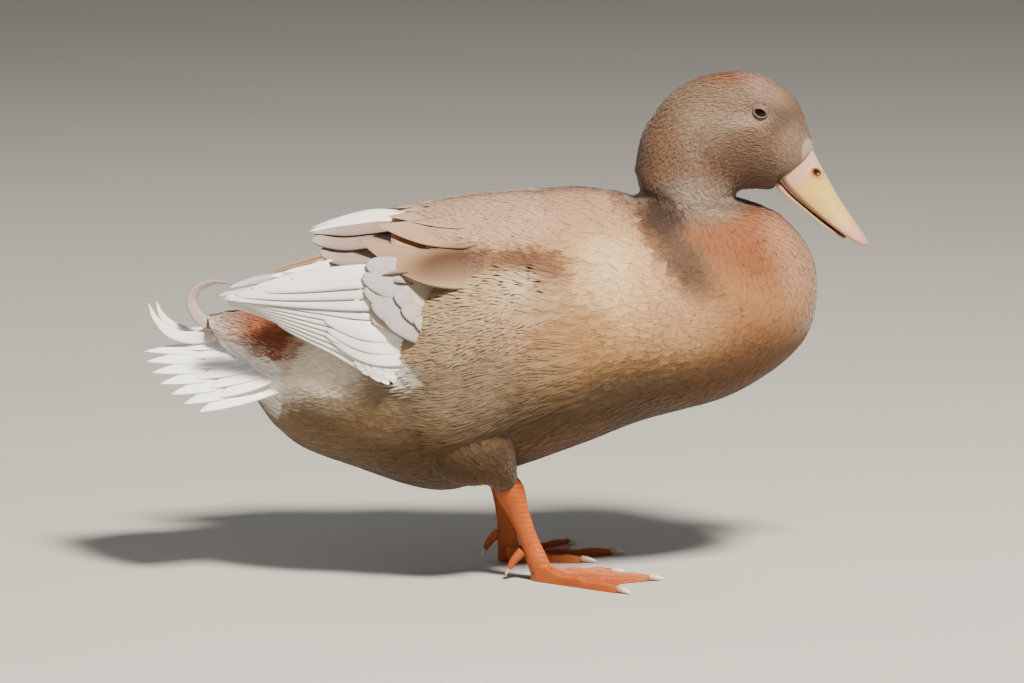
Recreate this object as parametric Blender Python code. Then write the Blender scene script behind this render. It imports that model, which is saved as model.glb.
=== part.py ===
"""A domestic drake standing on both feet with its neck drawn in, life size.

Metres, +Z up. The bird faces +X and stands on the plane z = 0; its right side is -Y.
The feathered body is one loft of rings, parted into rump, trunk, breast, neck and head.
Wings, thighs and tail are cut back to lie against it with a hair of clearance.
"""

import math
from typing import NamedTuple

import bmesh
import bpy
import numpy as np
from mathutils import Matrix, Vector

MM = 0.001

# Driving dimensions, in millimetres.
LENGTH = 420.0  # tail tips to bill tip
CLEARANCE = 0.3  # between neighbouring pieces
INFLATE = 0.45  # how far a neighbour is swollen before it cuts a piece
RINGS_PER_SPAN = 2
RING_POINTS = 24

EYE_PLACE = (146.5, 271.0)  # x and z of the eye's centre
EYE_RADIUS = 5.2
EYE_SHOWS = 1.5  # how far the ball stands out of the head

BILL_ROOT = (167.6, 237.2)  # x and z where the bill's own axis starts
BILL_DROOP = math.radians(48.5)  # below the horizontal
BILL_LENGTH = 61.8

FOOT_SPACING = 29.0  # from the middle plane to the ball of each foot
ANKLE_HEIGHT = 53.0
TOE_LENGTHS = {"inner": 44.0, "middle": 63.0, "outer": 59.0}
TOE_SPLAY = {"inner": -25.0, "middle": 0.0, "outer": 38.0}  # degrees outwards from the middle toe
TOE_HALF_WIDTH = 4.2
TOE_TAPER = 0.62  # of a toe's width that is left at its tip
TOE_ROUNDING = 2.4  # how far a tip's corners lie behind its middle
TOE_HEIGHT = 6.4
TOE_LINES = (-1.0, -0.6, 0.0, 0.6, 1.0)
WEB_LINES = (0.33, 0.67)
WEB_SCALLOP = 0.2
WEB_THICKNESS = 1.3
BALL_RADIUS = 6.5
BALL_RISE = 4.5
FOOT_ROWS = 6
CLAW_LENGTH = 8.0

TAIL_ROOT = (-62.0, 137.0)  # x and z where the tail feathers would meet, inside the body
TAIL_PAIRS = 7
TAIL_SPREAD = math.radians(26)  # from the middle plane to the outermost feather
TAIL_START = 68.0  # where the solid fan begins, measured from the root
TAIL_SLOPE = 0.045  # fall along the middle feathers
TAIL_HALF_WIDTH = 48.0
TAIL_ARCH = 24.0  # how far the outermost feather lies below the middle ones
TAIL_SHORTENING = 0.15  # of a middle feather's length that the outermost lacks
TAIL_NOTCH = 12.0  # depth of the gaps between tips


class Station(NamedTuple):
    """One ring of the body loft: its upper and lower points in the middle plane and its width."""

    place: str
    back: tuple[float, float]  # x, z
    belly: tuple[float, float]  # x, z
    half_width: float
    widest: float  # share of the way from belly to back
    fullness: float  # 2 is an ellipse, more is squarer


BODY = (
    Station("tail root", (-171, 149), (-163, 130), 14, 0.5, 2.0),
    Station("undertail", (-147, 157), (-144, 100), 34, 0.5, 2.1),
    Station("vent", (-122, 171), (-124, 76), 53, 0.48, 2.15),
    Station("abdomen", (-90, 189), (-90, 62), 67, 0.46, 2.2),
    Station("hip", (-48, 208), (-37, 47), 75, 0.46, 2.2),
    Station("back", (-2, 222), (9, 61.5), 77, 0.47, 2.2),
    Station("mantle", (38, 227), (49, 76), 75, 0.48, 2.2),
    Station("shoulder", (70, 223), (82, 88.5), 69, 0.5, 2.2),
    Station("keel", (73.3, 222.2), (136, 105), 62, 0.5, 2.15),
    Station("breast", (75, 222.6), (176, 137), 55, 0.5, 2.1),
    Station("crop", (75.6, 223.6), (181.5, 180), 46, 0.5, 2.05),
    Station("neck base", (75.6, 225), (162, 209), 38, 0.5, 2.0),
    Station("lower neck", (75.2, 227.5), (137.5, 218.5), 32, 0.5, 2.0),
    Station("upper neck", (74.8, 238), (137.2, 222.8), 28, 0.5, 2.0),
    Station("nape", (82, 263.4), (141.7, 224), 25.5, 0.48, 2.0),
    Station("hind crown", (103.5, 286), (147.5, 223.8), 25.5, 0.45, 2.0),
    Station("crown", (138.5, 293), (152.7, 223.6), 24.5, 0.42, 2.05),
    Station("forehead", (165.5, 280), (155.5, 225), 20.5, 0.38, 2.05),
    Station("face", (176.5, 257.5), (156.7, 227.3), 15.5, 0.42, 2.1),
    Station("bill root", (178.3, 248.5), (157.6, 228.6), 12.6, 0.45, 2.2),
)
# Body pieces: each from one place to another, and its finish.
BODY_PIECES = {
    "rump": ("tail root", "vent", "cream_feathers"),
    "trunk": ("vent", "shoulder", "buff_feathers"),
    "breast": ("shoulder", "neck base", "rust_feathers"),
    "neck": ("neck base", "nape", "taupe_feathers"),
    "head": ("nape", "bill root", "taupe_feathers"),
}

FINISHES = {
    "buff_feathers": ((0.72, 0.50, 0.33), 0.85),
    "rust_feathers": ((0.55, 0.27, 0.13), 0.85),
    "taupe_feathers": ((0.40, 0.29, 0.22), 0.9),
    "cream_feathers": ((0.72, 0.62, 0.49), 0.85),
    "white_feathers": ((0.82, 0.79, 0.75), 0.8),
    "bill_horn": ((0.72, 0.58, 0.38), 0.35),
    "foot_skin": ((0.80, 0.30, 0.06), 0.5),
    "claw_horn": ((0.72, 0.56, 0.46), 0.4),
    "eye": ((0.012, 0.009, 0.008), 0.08),
}


def finish(slot):
    """The Principled material of a finish, made once."""
    found = bpy.data.materials.get(slot)
    if found:
        return found
    colour, roughness = FINISHES[slot]
    material = bpy.data.materials.new(slot)
    material.use_nodes = True
    shader = material.node_tree.nodes["Principled BSDF"]
    shader.inputs["Base Color"].default_value = (*colour, 1.0)
    shader.inputs["Roughness"].default_value = roughness
    shader.inputs["Metallic"].default_value = 0.0
    return material


def smooth_curve(rows, at):
    """Catmull-Rom curve through the rows, read at positions counted in rows."""
    rows = np.asarray(rows, float)
    padded = np.vstack([2 * rows[0] - rows[1], rows, 2 * rows[-1] - rows[-2]])
    first = np.clip(np.floor(at).astype(int), 0, len(rows) - 2)
    t = (np.asarray(at) - first)[:, None]
    before, here, there, after = (padded[first + k] for k in range(4))
    return 0.5 * (
        2 * here
        + (there - before) * t
        + (2 * before - 5 * here + 4 * there - after) * t**2
        + (3 * here - before - 3 * there + after) * t**3
    )


def rounded(value, power):
    """The value with its size raised to a power and its sign kept."""
    return np.sign(value) * np.abs(value) ** power


def object_from(name, points, faces, slot):
    """A closed, smooth-shaded mesh object with its faces turned outwards; points in millimetres."""
    mesh = bpy.data.meshes.new(name)
    mesh.from_pydata([tuple(p * MM) for p in np.asarray(points, float)], [], faces)
    shell = bmesh.new()
    shell.from_mesh(mesh)
    bmesh.ops.recalc_face_normals(shell, faces=shell.faces)
    shell.to_mesh(mesh)
    shell.free()
    mesh.shade_smooth()
    mesh.materials.append(finish(slot))
    made = bpy.data.objects.new(name, mesh)
    bpy.context.scene.collection.objects.link(made)
    return made


def tube(name, rings, slot):
    """A closed loft through rings of equal point counts, capped at both ends."""
    rings = np.asarray(rings, float)
    count, around = rings.shape[:2]
    faces = [tuple(range(around)), tuple(range((count - 1) * around, count * around))]
    for i in range(count - 1):
        for j in range(around):
            k = (j + 1) % around
            faces.append(
                (i * around + j, i * around + k, (i + 1) * around + k, (i + 1) * around + j)
            )
    return object_from(name, rings.reshape(-1, 3), faces, slot)


def plate(name, outer, inner, slot):
    """A closed slab between two grids of points with equal shapes, joined round their edges."""
    outer, inner = np.asarray(outer, float), np.asarray(inner, float)
    rows, columns = outer.shape[:2]
    under = rows * columns
    faces = []
    for i in range(rows - 1):
        for j in range(columns - 1):
            a = i * columns + j
            quad = (a, a + 1, a + columns + 1, a + columns)
            faces.append(quad)
            faces.append(tuple(under + v for v in reversed(quad)))
    rim = [j for j in range(columns)]
    rim += [i * columns + columns - 1 for i in range(1, rows)]
    rim += [(rows - 1) * columns + j for j in range(columns - 2, -1, -1)]
    rim += [i * columns for i in range(rows - 2, 0, -1)]
    for a, b in zip(rim, rim[1:] + rim[:1]):
        faces.append((a, b, under + b, under + a))
    points = np.vstack([outer.reshape(-1, 3), inner.reshape(-1, 3)])
    return object_from(name, points, faces, slot)


def cutter_from(made, swell=INFLATE):
    """A hidden copy of a piece, swollen along its normals, to cut its neighbours with."""
    copy = bpy.data.objects.new(made.name + "_cutter", made.data.copy())
    bpy.context.scene.collection.objects.link(copy)
    swelling = copy.modifiers.new("swell", "DISPLACE")
    swelling.strength = swell * MM
    swelling.mid_level = 0.0
    copy.hide_render = True
    copy.display_type = "WIRE"
    return copy


def cut(made, *cutters, solver="EXACT"):
    """Takes the cutters out of the piece."""
    for cutter in cutters:
        difference = made.modifiers.new("clear_of_" + cutter.name, "BOOLEAN")
        difference.operation = "DIFFERENCE"
        difference.solver = solver
        difference.object = cutter


# --- Body -------------------------------------------------------------------------------------


def body_rings(start, end):
    """Rings of the body loft between two positions counted in stations."""
    count = int(round((end - start) * RINGS_PER_SPAN)) + 1
    at = np.linspace(start, end, count)
    table = [[*s.back, *s.belly, s.half_width, s.widest, s.fullness] for s in BODY]
    back_x, back_z, belly_x, belly_z, wide, widest, full = smooth_curve(table, at).T[:, :, None]
    angle = np.linspace(0, 2 * math.pi, RING_POINTS, endpoint=False)[None, :]
    up, aside = np.cos(angle), np.sin(angle)
    power = 2 / full
    share = widest + np.where(up > 0, 1 - widest, widest) * rounded(up, power)
    x = belly_x + (back_x - belly_x) * share
    z = belly_z + (back_z - belly_z) * share
    y = wide * rounded(aside, power)
    return np.stack([x, y, z], axis=-1)


def drawn_in(rings, first, last):
    """The rings with the end ones moved in by half a clearance, square to their own planes."""
    rings = rings.copy()
    for index, inwards, wanted in ((0, 1, first), (-1, -1, last)):
        if wanted:
            top, bottom = rings[index, 0], rings[index, RING_POINTS // 2]
            rise = (top - bottom) / np.linalg.norm(top - bottom)
            forward = np.array([rise[2], 0.0, -rise[0]])
            rings[index] += inwards * forward * CLEARANCE / 2
    return rings


def body():
    """The feathered body in five pieces, keyed by name."""
    places = [s.place for s in BODY]
    made = {}
    for name, (start, end, slot) in BODY_PIECES.items():
        first, last = places.index(start), places.index(end)
        rings = drawn_in(body_rings(first, last), first > 0, last < len(BODY) - 1)
        made[name] = tube(name, rings, slot)
    return made


def side_at(made, x, z, side):
    """The y, in millimetres, at which a piece's surface stands at this x and z."""
    origin = Vector((x * MM, side * 0.2, z * MM))
    hit, place, _, _ = made.ray_cast(origin, Vector((0, -side, 0)))
    if not hit:
        raise ValueError(f"{made.name} has no surface at x {x}, z {z}")
    return place.y / MM


def ball(name, centre, radius, slot):
    """A sphere from Blender's own primitive."""
    mesh = bpy.data.meshes.new(name)
    shell = bmesh.new()
    bmesh.ops.create_uvsphere(shell, u_segments=12, v_segments=8, radius=radius * MM)
    bmesh.ops.translate(shell, verts=shell.verts, vec=Vector(centre) * MM)
    shell.to_mesh(mesh)
    shell.free()
    mesh.shade_smooth()
    mesh.materials.append(finish(slot))
    made = bpy.data.objects.new(name, mesh)
    bpy.context.scene.collection.objects.link(made)
    return made


def eyes(head):
    """Both eyeballs, each in a socket cut from the head."""
    balls = []
    for name, side in (("eye_right", -1), ("eye_left", 1)):
        surface = side_at(head, *EYE_PLACE, side)
        deep = surface - side * (EYE_RADIUS - EYE_SHOWS)
        balls.append(ball(name, (EYE_PLACE[0], deep, EYE_PLACE[1]), EYE_RADIUS, "eye"))
    cut(head, *(cutter_from(eye) for eye in balls))


# --- Bill -------------------------------------------------------------------------------------


def bill_point(along, aside, up):
    """A place in the bill's own axes, turned to the bird's."""
    drop, reach = math.sin(BILL_DROOP), math.cos(BILL_DROOP)
    x = BILL_ROOT[0] + along * reach + up * drop
    z = BILL_ROOT[1] - along * drop + up * reach
    return np.stack(np.broadcast_arrays(x, aside, z), axis=-1)


# Along the bill from root to tip: place, ridge height, cutting-edge height and half width.
UPPER_BILL = (
    (0.9, 13.8, -11.0, 11.6),
    (8.0, 12.0, -11.6, 11.5),
    (18.0, 9.8, -10.6, 11.0),
    (32.0, 7.0, -8.4, 11.1),
    (45.0, 5.4, -5.6, 12.0),
    (54.0, 4.3, -2.9, 11.0),
    (59.5, 3.2, -1.0, 7.6),
    (BILL_LENGTH, 1.9, -0.1, 3.4),
)
# The same for the lower bill, with its underside in place of the cutting edge.
LOWER_BILL = (
    (0.4, -11.6, -15.8, 9.6),
    (8.0, -12.1, -15.2, 9.6),
    (18.0, -11.1, -13.2, 9.4),
    (32.0, -8.9, -10.9, 9.8),
    (44.0, -6.2, -7.9, 9.6),
    (50.0, -4.7, -6.0, 7.0),
)
NOSTRIL = (17.5, 9.0, 5.2)  # along, aside and up
NOSTRIL_RADII = (3.1, 3.4, 1.7)
NOSTRIL_TURN = math.radians(12)  # from the bill's axis


def bill_rings(stations, dome, keel, leaning):
    """Rings across the bill: a domed top over a shallower underside, leaning back at the root."""
    at = np.linspace(0, len(stations) - 1, 2 * len(stations) - 1)
    along, top, bottom, wide = smooth_curve(stations, at).T[:, :, None]
    angle = np.linspace(0, 2 * math.pi, 16, endpoint=False)[None, :]
    up, aside = np.cos(angle), np.sin(angle)
    edge = bottom + (top - bottom) * 0.22
    rise = np.where(
        up > 0, (top - edge) * rounded(up, dome), (edge - bottom) * rounded(up, keel)
    )
    spread = wide * rounded(aside, 0.8)
    lean = leaning * (1 - along / BILL_LENGTH) ** 4 * (edge + rise - top)
    return bill_point(along + lean, spread, edge + rise)


def bill():
    """Upper and lower bill, the upper one with a nostril pit through each side."""
    upper = tube("bill_upper", bill_rings(UPPER_BILL, 1.15, 0.6, 0.1), "bill_horn")
    lower = tube("bill_lower", bill_rings(LOWER_BILL, 0.6, 0.9, 0.1), "bill_horn")
    for side in (-1, 1):
        pit = ball("nostril_cutter", (0, 0, 0), 1.0, "bill_horn")
        pit.data.transform(Matrix.Diagonal((*NOSTRIL_RADII, 1.0)))
        pit.rotation_euler = (0, BILL_DROOP - NOSTRIL_TURN, 0)
        along, aside, up = NOSTRIL
        pit.location = Vector(bill_point(along, side * aside, up)) * MM
        pit.hide_render = True
        pit.display_type = "WIRE"
        cut(upper, pit)
    return upper, lower


# --- Wings ------------------------------------------------------------------------------------


class Layer(NamedTuple):
    """A layer of the folded wing between an upper and a lower edge, each run from front to tip."""

    upper: tuple[tuple[float, float, float], ...]  # x, distance from the middle plane, z
    lower: tuple[tuple[float, float, float], ...]
    bulge: float  # how far the middle stands out from the straight line between the edges
    sunk: float  # how far the front end is sunk into the body
    thick_front: float
    thick_tip: float
    slot: str


WING_LAYERS = {
    "scapulars": Layer(
        ((88, 38, 210), (40, 42, 221), (-10, 40, 219), (-45, 36, 214), (-76, 40, 206)),
        ((92, 62, 176), (45, 79, 174), (0, 82, 175), (-42, 80, 178), (-80, 58, 201)),
        9.0,
        20.0,
        16.0,
        2.6,
        "buff_feathers",
    ),
    "tertials": Layer(
        ((-36, 14, 213), (-58, 10, 212), (-80, 8, 209), (-98, 9, 205), (-113, 14, 201)),
        ((-34, 70, 190), (-58, 72, 187), (-82, 64, 186), (-100, 50, 190), (-111, 36, 194)),
        6.0,
        0.0,
        9.0,
        1.8,
        "white_feathers",
    ),
    "coverts": Layer(
        ((6, 76, 186), (-25, 77, 186), (-50, 76, 187), (-66, 74, 187), (-80, 72, 188)),
        ((-2, 81, 138), (-22, 82, 138), (-42, 82, 142), (-62, 80, 150), (-78, 77, 157)),
        4.5,
        16.0,
        12.0,
        4.0,
        "cream_feathers",
    ),
    "flight": Layer(
        ((-40, 70, 184), (-80, 67, 186), (-112, 60, 182), (-140, 54, 176), (-164, 49, 169)),
        ((-38, 80, 127), (-70, 77, 125), (-100, 71, 141), (-134, 61, 157), (-161, 51, 165)),
        3.0,
        3.0,
        12.0,
        1.6,
        "white_feathers",
    ),
}
LAYER_ROWS = 8
LAYER_COLUMNS = 7
TIP_TEETH = 3  # feather tips that show along a layer's rear edge
SINKING_SHARE = 0.2  # of a layer's length, over which its front end comes up out of the body


def wing_layer(name, layer, side):
    """One layer: a slab bulging outwards, thinning towards the tips, with a toothed rear edge."""
    at = np.linspace(0, len(layer.upper) - 1, LAYER_ROWS)
    upper = smooth_curve(layer.upper, at)[:, None, :]
    lower = smooth_curve(layer.lower, at)[:, None, :]
    across = np.linspace(0, 1, LAYER_COLUMNS)[None, :, None]
    along = np.linspace(0, 1, LAYER_ROWS)[:, None, None]
    middle = upper + (lower - upper) * across
    edge = lower - upper
    outwards = np.concatenate([0 * edge[..., :1], -edge[..., 2:], edge[..., 1:2]], axis=-1)
    outwards /= np.linalg.norm(outwards, axis=-1, keepdims=True)
    swell = layer.bulge * np.sin(math.pi * across) ** 0.8 * (1 - 0.7 * along**2)
    sunk = layer.sunk * np.clip(1 - along / SINKING_SHARE, 0, 1)
    outer = middle + outwards * (swell - sunk)
    tooth = np.abs((across * TIP_TEETH) % 1 - 0.5) * 2
    outer[..., 0:1] += 5.0 * tooth * np.clip(along * 4 - 3, 0, 1)
    thick = layer.thick_front + (layer.thick_tip - layer.thick_front) * along**0.7
    thin_edge = 0.35 + 0.65 * np.sin(math.pi * np.clip(across, 0.02, 0.98)) ** 0.5
    inner = outer - outwards * thick * thin_edge
    for grid in (outer, inner):
        grid[..., 1] *= side
    return plate(name, outer, inner, layer.slot)


def wings(*body_pieces):
    """Both folded wings, each layer clear of the body and of the layers that lie over it."""
    body_cutters = [cutter_from(piece) for piece in body_pieces]
    for word, side in (("right", -1), ("left", 1)):
        over = []
        for layer_name, layer in WING_LAYERS.items():
            made = wing_layer(f"wing_{word}_{layer_name}", layer, side)
            swollen = cutter_from(made, 2 * INFLATE)
            cut(made, *body_cutters, *over, solver="MANIFOLD")
            over.append(swollen)


# --- Tail -------------------------------------------------------------------------------------


def tail_point(reach, bearing, lift):
    """A place in the fan: reach from its root, bearing from the middle plane, height above it."""
    x = TAIL_ROOT[0] - reach * np.cos(bearing)
    y = reach * np.sin(bearing)
    drop = TAIL_ARCH * np.abs(y / TAIL_HALF_WIDTH) ** 1.25
    z = TAIL_ROOT[1] - TAIL_SLOPE * reach - drop + lift
    return np.stack(np.broadcast_arrays(x, y, z), axis=-1)


def tail():
    """The fan of tail feathers: pointed tips, each feather's edge a small step over the next."""
    lines = 2 * TAIL_PAIRS * 4 + 1
    share = np.linspace(-1, 1, lines)[None, :]
    off_middle = np.abs((share * TAIL_PAIRS) % 1 - 0.5) * 2  # 0 on a feather's own middle line
    length = (LENGTH / 2 + TAIL_ROOT[0]) * (1 - TAIL_SHORTENING * np.abs(share) ** 1.8)
    tip = length - TAIL_NOTCH * off_middle**1.3
    row = np.linspace(0, 1, 3)[:, None]
    reach = TAIL_START + (tip - TAIL_START) * row
    thick = 3.4 - 2.2 * row + 0 * share
    step = 0.6 * (np.abs(share * TAIL_PAIRS) % 1) * np.clip(row * 3, 0, 1)
    bearing = share * TAIL_SPREAD
    outer = tail_point(reach, bearing, thick / 2 + step)
    inner = tail_point(reach, bearing, -thick / 2)
    return plate("tail_fan", outer, inner, "white_feathers")


class Curl(NamedTuple):
    """A curled drake feather: a ribbon along a curve in the x-z plane."""

    path: tuple[tuple[float, float], ...]  # x, z
    off_centre: float
    half_width: float
    thickness: float


CURLS = {
    "curl_feather_loop": Curl(
        ((-164, 146), (-175, 148), (-181, 157), (-178, 166), (-168, 170.5), (-157, 169)),
        -4.0,
        3.2,
        1.3,
    ),
    "curl_feather_right": Curl(
        ((-168, 140), (-182, 138), (-194, 141), (-202, 149), (-206, 158)),
        -4.5,
        3.2,
        1.3,
    ),
    "curl_feather_left": Curl(
        ((-168, 141), (-181, 139), (-192, 143), (-199, 150), (-202, 158)),
        4.0,
        3.2,
        1.3,
    ),
}


def curl(name, feather):
    """The ribbon, tapering to its tip."""
    at = np.linspace(0, len(feather.path) - 1, 13)
    line = smooth_curve(feather.path, at)
    run = np.gradient(line, axis=0)
    run /= np.linalg.norm(run, axis=1, keepdims=True)
    square = np.stack([-run[:, 1], run[:, 0]], axis=1)
    taper = np.sqrt(np.clip(1 - (at / at[-1]) ** 2.5, 0.02, 1))[:, None]
    rings = []
    for across, over in ((-1, 0), (0, 0.5), (1, 0), (0, -0.5)):
        x, z = (line + square * over * feather.thickness).T
        y = feather.off_centre + across * feather.half_width * taper[:, 0]
        rings.append(np.stack([x, y, z], axis=-1))
    return tube(name, np.stack(rings, axis=1), "taupe_feathers" if "loop" in name else "white_feathers")


# --- Legs -------------------------------------------------------------------------------------


class Leg(NamedTuple):
    """Where one leg stands and how its foot points."""

    word: str
    side: int
    ankle_x: float
    ball_x: float
    toe_out: float  # degrees by which the middle toe points outwards


LEGS = (Leg("right", -1, 1.0, 21.5, 3.0), Leg("left", 1, -3.0, 2.5, 16.0))


def oval_rings(centres, radii, count, around=12):
    """Level-to-level ovals along a curve of centres: radii are fore-and-aft and sideways."""
    at = np.linspace(0, len(centres) - 1, count)
    line = smooth_curve(centres, at)
    size = smooth_curve(radii, at)
    run = np.gradient(line, axis=0)
    run /= np.linalg.norm(run, axis=1, keepdims=True)
    sideways = np.array([0.0, 1.0, 0.0])
    fore = np.cross(sideways, run)
    fore /= np.linalg.norm(fore, axis=1, keepdims=True)
    aside = np.cross(run, fore)
    angle = np.linspace(0, 2 * math.pi, around, endpoint=False)
    return (
        line[:, None, :]
        + fore[:, None, :] * (size[:, :1] * np.cos(angle))[..., None]
        + aside[:, None, :] * (size[:, 1:] * np.sin(angle))[..., None]
    )


def thigh(leg):
    """The feathered drumstick, from the flank down to the ankle."""
    s = leg.side
    centres = (
        (-26, s * 40, 110),
        (-22, s * 47, 97),
        (-15, s * 49, 81),
        (leg.ankle_x - 5, s * 41, 67),
        (leg.ankle_x - 1, s * 34, 58.5),
    )
    radii = ((30, 12), (36, 19), (29, 19), (13, 12), (8.2, 7.2))
    return tube(f"thigh_{leg.word}", oval_rings(centres, radii, 10, 16), "cream_feathers")


def shank(leg):
    """The bare leg from ankle to the ball of the foot, thick at both joints."""
    s = leg.side
    reach = leg.ball_x - leg.ankle_x
    centres = [
        (leg.ankle_x + reach * t, s * (32.5 - 3.5 * t), ANKLE_HEIGHT + 5 - (ANKLE_HEIGHT + 0.5) * t)
        for t in (0.0, 0.12, 0.35, 0.6, 0.85, 1.0)
    ]
    radii = ((7.4, 6.0), (8.4, 6.6), (6.2, 4.4), (5.2, 3.8), (6.0, 4.8), (6.6, 5.6))
    return tube(f"shank_{leg.word}", oval_rings(centres, radii, 9), "foot_skin")


def heading(leg, splay):
    """Unit directions in the ground plane: along a toe, and across it away from the other foot."""
    bearing = math.radians(splay + leg.toe_out)
    along = np.array([math.cos(bearing), leg.side * math.sin(bearing)])
    across = np.array([-math.sin(bearing), leg.side * math.cos(bearing)])
    return along, across


def foot_ends(leg):
    """Where the foot's lengthwise lines end, from the inner toe outwards, and how high each rides.

    Each toe has five lines across its width, and two web lines lie between neighbouring toes.
    A line's height runs from 0, the web's own, to 1, a toe's ridge.
    """
    ends, heights = [], []
    for name, length in TOE_LENGTHS.items():
        along, across = heading(leg, TOE_SPLAY[name])
        if ends:
            before = ends[-1]
            after = along * (length - TOE_ROUNDING) - across * TOE_HALF_WIDTH * TOE_TAPER
            for share in WEB_LINES:
                straight = before * (1 - share) + after * share
                ends.append(straight * (1 - WEB_SCALLOP * math.sin(math.pi * share)))
                heights.append(0.0)
        for offset in TOE_LINES:
            reach = length - TOE_ROUNDING * offset**2
            ends.append(along * reach + across * TOE_HALF_WIDTH * TOE_TAPER * offset)
            heights.append(math.sqrt(1 - offset**2))
    return np.array(ends), np.array(heights)


def foot(leg):
    """Three toes joined by webs, flat underneath, rising to the ball."""
    ends, ridge = foot_ends(leg)
    share = np.linspace(-1, 1, len(ends))
    along, across = heading(leg, sum(TOE_SPLAY.values()) / len(TOE_SPLAY))
    behind = -BALL_RADIUS * (1 - 0.6 * share**2)
    starts = np.outer(behind, along) + np.outer(BALL_RADIUS * share, across)
    row = np.linspace(0, 1, FOOT_ROWS)[:, None, None]
    ground = starts + (ends - starts) * row
    ground = ground + (leg.ball_x, leg.side * FOOT_SPACING)
    row = row[..., 0]
    toe = TOE_HEIGHT * (1 - 0.4 * row)
    height = WEB_THICKNESS + (toe - WEB_THICKNESS) * ridge
    height = height + BALL_RISE * np.exp(-(((row - 0.06) / 0.16) ** 2)) * (1 - 0.5 * share**2)
    top = np.concatenate([ground, height[..., None]], axis=2)
    under = np.concatenate([ground, 0 * height[..., None]], axis=2)
    return plate(f"foot_{leg.word}", top, under, "foot_skin")


def claw(name, root, along, length, radius, dip):
    """A short horn cone from its root, bending down by dip at the tip."""
    t = np.linspace(0, 1, 4)[:, None]
    centres = np.asarray(root) + np.asarray(along) * length * t + np.array([0, 0, -dip]) * t**2
    radii = np.column_stack([radius * (1 - 0.8 * t[:, 0] ** 1.5)] * 2)
    return tube(name, oval_rings(centres, radii, 4, 6), "claw_horn")


def claws(leg):
    """A claw at each front toe's tip."""
    for name, length in TOE_LENGTHS.items():
        along = np.append(heading(leg, TOE_SPLAY[name])[0], 0.0)
        root = along * (length + CLEARANCE)
        root += (leg.ball_x, leg.side * FOOT_SPACING, 2.3)
        claw(f"claw_{leg.word}_{name}", root, along, CLAW_LENGTH, 1.9, 1.2)


def hind_toe(leg):
    """The small raised hind toe with its claw, behind and above the ball."""
    s = leg.side
    lean = (leg.ball_x - leg.ankle_x) / ANKLE_HEIGHT
    root = np.array([leg.ball_x - lean * 17 - 4.5, s * 29.5, 17.0])
    bend = root + (-5.0, 0, -5.5)
    tip = root + (-7.6, 0, -10.0)
    centres = (root, bend, tip)
    made = tube(
        f"hind_toe_{leg.word}", oval_rings(centres, ((3.0, 2.6), (2.4, 2.1), (1.7, 1.5)), 5, 8), "foot_skin"
    )
    down = (tip - bend) / np.linalg.norm(tip - bend)
    claw(f"claw_{leg.word}_hind", tip + down * CLEARANCE, down, 4.5, 1.2, 0.0)
    return made


def legs(trunk):
    """Both legs: thigh against the trunk, shank between thigh and foot, toes, webs and claws."""
    trunk_cutter = cutter_from(trunk)
    for leg in LEGS:
        upper, middle, lower, hind = thigh(leg), shank(leg), foot(leg), hind_toe(leg)
        shank_cutter = cutter_from(middle)
        cut(upper, trunk_cutter, shank_cutter)
        cut(lower, shank_cutter)
        cut(hind, shank_cutter)
        claws(leg)


# --- Assembly ---------------------------------------------------------------------------------


def main():
    """Clears the scene and builds the bird."""
    for old in list(bpy.data.objects):
        bpy.data.objects.remove(old)
    pieces = body()
    head_cutter = cutter_from(pieces["head"])
    eyes(pieces["head"])
    for half in bill():
        cut(half, head_cutter)
    wings(pieces["breast"], pieces["trunk"], pieces["rump"])
    fan = tail()
    fan_cutter, rump_cutter = cutter_from(fan), cutter_from(pieces["rump"])
    cut(fan, rump_cutter, cutter_from(pieces["trunk"]))
    for name, feather in CURLS.items():
        cut(curl(name, feather), rump_cutter, fan_cutter)
    legs(pieces["trunk"])


main()
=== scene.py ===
"""The dressing of a life-size domestic drake: skin, coat, flight feathers, bill, eyes and feet.

The frame holds the bird's solids. One skin with a coat of mesh feathers stands for the flesh
nodes, sheets of modelled feathers stand for the wings and tail, and finer shells stand for the
bill, eyes, legs and claws. Sizes are in millimetres until a mesh is made. +X is the way the bird
faces, its right side is -Y, and it stands on z = 0.
"""

import logging
import math
from dataclasses import dataclass, replace
from enum import Enum

import bpy
import numpy as np
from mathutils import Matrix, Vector

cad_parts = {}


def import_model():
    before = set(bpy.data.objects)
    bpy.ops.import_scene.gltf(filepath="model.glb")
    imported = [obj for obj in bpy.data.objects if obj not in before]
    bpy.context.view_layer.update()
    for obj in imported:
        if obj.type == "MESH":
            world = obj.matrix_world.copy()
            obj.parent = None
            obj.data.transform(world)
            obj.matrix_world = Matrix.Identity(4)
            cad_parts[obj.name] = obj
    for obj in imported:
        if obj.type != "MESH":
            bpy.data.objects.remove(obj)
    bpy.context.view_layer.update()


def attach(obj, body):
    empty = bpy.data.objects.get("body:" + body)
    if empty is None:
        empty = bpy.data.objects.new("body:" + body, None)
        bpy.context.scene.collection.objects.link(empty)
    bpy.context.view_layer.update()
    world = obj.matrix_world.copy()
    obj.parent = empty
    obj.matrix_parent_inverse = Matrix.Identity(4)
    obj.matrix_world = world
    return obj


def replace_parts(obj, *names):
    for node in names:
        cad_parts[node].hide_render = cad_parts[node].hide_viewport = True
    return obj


LOG = logging.getLogger("drake")
Array = np.ndarray
MM = 0.001
PATCH = 0.003  # width of one tuft's patch on the OFBake map
R2_STEPS = (0.7548776662, 0.5698402910)  # of the R2 low-discrepancy sequence
EYE_AT = (146.5, 271.0)  # x and z of both eyes, mm
NAPE_AT = (75.0, 221.0)  # x and z of the nape's bend
# Painted shade: the skin under the coat is darker than the coat, for the shade between the feathers.
UNDERCOAT_PAINTED_SHADE = 0.92  # how much darker the skin is than the coat


# --- Shared arithmetic --------------------------------------------------------------------------


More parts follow.
